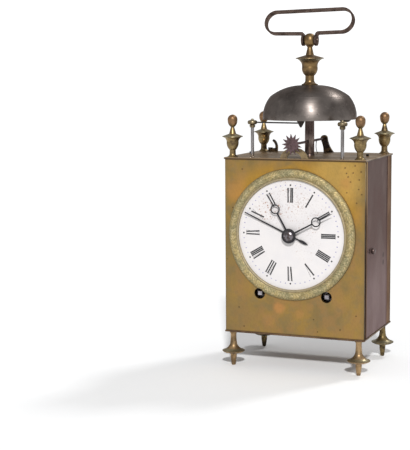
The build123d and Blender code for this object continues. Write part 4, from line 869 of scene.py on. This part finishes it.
gilt = Finish("bezel_gilt", Metallic=0.55, Specular_IOR_Level=0.3)
leaf = gilt.node("ShaderNodeAttribute", {"attribute_name": "leaf_height", "output": "Fac"})
out = gilt.distance(DIAL_X, DIAL_Z)
patch = gilt.noise(0.010, 4).fade(0.40, 0.62)
colour = gilt.mix(patch, (0.45, 0.345, 0.155), (0.32, 0.285, 0.160))
colour = gilt.mix(gilt.noise(0.0020, 3).fade(0.48, 0.62) * 0.65, colour, (0.62, 0.50, 0.29))
colour = gilt.mix(gilt.noise(0.0017, 3).fade(0.50, 0.60) * 0.60, colour, (0.15, 0.125, 0.060))
colour = gilt.mix(leaf.fade(0.60, 0.05) * 0.6, colour, (0.20, 0.175, 0.085))
colour = gilt.mix(out.fade(LEAF_IN, INNER_BEAD) * 0.7, colour, (0.33, 0.275, 0.185))
colour = gilt.mix(out.fade(0.0578, OUTER_BEAD) * 0.8, colour, (0.15, 0.11, 0.05))
gilt.set(
    Base_Color=colour,
    Roughness=0.52 + 0.10 * patch + 0.1 * leaf.fade(0.6, 0.1),
    Normal=gilt.relief(gilt.noise(0.0012, 2), 0.00022),
)
bezel_leaves.data.materials.append(gilt.material)
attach(bezel_leaves, "case")
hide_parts("bezel")

# ---- Hands ----
# Cut from sheet steel and blued nearly black, each on its own pipe. A domed steel boss
# holds the minute hand.
blued = Finish("hand_steel", Metallic=0.6)
wear = blued.noise(0.002, 3).fade(0.45, 0.75)
blued.set(
    Base_Color=blued.mix(wear, (0.022, 0.022, 0.026), (0.06, 0.052, 0.05)),
    Roughness=0.28 + 0.2 * wear,
    Normal=blued.relief(wear, 0.00003),
)
blued.on("hour_hand", "minute_hand", "alarm_hand")

boss_steel = Finish("boss_steel", Metallic=0.95)
worn = boss_steel.noise(0.0025, 3).fade(0.40, 0.62)
rim = boss_steel.distance(DIAL_X, DIAL_Z).fade(0.0040, 0.0056)
colour = boss_steel.mix(worn, (0.20, 0.185, 0.20), (0.085, 0.065, 0.06))
colour = boss_steel.mix(rim * 0.8, colour, (0.03, 0.026, 0.026))
boss_steel.set(
    Base_Color=colour,
    Roughness=0.22 + 0.2 * worn,
    Normal=boss_steel.relief(worn, 0.00005),
)
boss_steel.on("hand_boss")

# ---- Table, light and camera ----
# A plain white table, a distant light in front and a softer one behind on the right. The
# white sky is brighter to the camera than it is to the table and the clock.
TABLE_HALF = 6.0
mesh = bmesh.new()
bmesh.ops.create_grid(mesh, x_segments=1, y_segments=1, size=TABLE_HALF)
table = put_in_scene("table_top", mesh)
PAPER = (0.935, 0.940, 0.945, 1.0)
white = Finish("table_white", Roughness=0.9, Specular_IOR_Level=0.0, Base_Color=PAPER)
table.data.materials.append(white.material)


def soft_light(name, direction, spread, strength):
    """A distant light of the given spread in degrees, the same all over the table."""
    data = bpy.data.lights.new(name, "SUN")
    data.angle, data.energy = math.radians(spread), strength
    light = bpy.data.objects.new(name, data)
    light.rotation_mode = "QUATERNION"
    light.rotation_quaternion = Vector(direction).normalized().to_track_quat("Z", "Y")
    bpy.context.scene.collection.objects.link(light)


soft_light("key_light", direction=(0.37, -0.93, 0.65), spread=4.0, strength=2.72)
soft_light("back_light", direction=(0.50, 0.87, 1.1), spread=10.0, strength=0.90)


class Sky(Finish):
    """White light from all round, built from nodes as a finish is."""

    def __init__(self, name):
        self.world = bpy.data.worlds.new(name)
        self.world.use_nodes = True
        self.tree = self.world.node_tree
        self.shader = self.tree.nodes["Background"]


SKY_ON_CLOCK, SKY_SEEN = 0.435, 1.2
sky = Sky("studio")
seen = sky.node("ShaderNodeLightPath", {"output": "Is Camera Ray"})
sky.set(Color=(1.0, 1.0, 1.0, 1.0), Strength=SKY_ON_CLOCK + (SKY_SEEN - SKY_ON_CLOCK) * seen)
bpy.context.scene.world = sky.world
bpy.context.scene.view_settings.view_transform = "Standard"

CAMERA_AT = (0.35087, -1.09488, 0.27143)
YAW, PITCH, ROLL = math.radians(22.51), math.radians(7.22), math.radians(-0.44)
lens = bpy.data.cameras.new("camera")
lens.sensor_width, lens.lens = 36.0, 101.47
camera = bpy.data.objects.new("camera", lens)
back = Vector((math.sin(YAW) * math.cos(PITCH), -math.cos(YAW) * math.cos(PITCH), math.sin(PITCH)))
camera.location = CAMERA_AT
camera.rotation_mode = "QUATERNION"
camera.rotation_quaternion = back.to_track_quat("Z", "Y") @ Quaternion((0, 0, 1), ROLL)
bpy.context.scene.collection.objects.link(camera)
bpy.context.scene.camera = camera
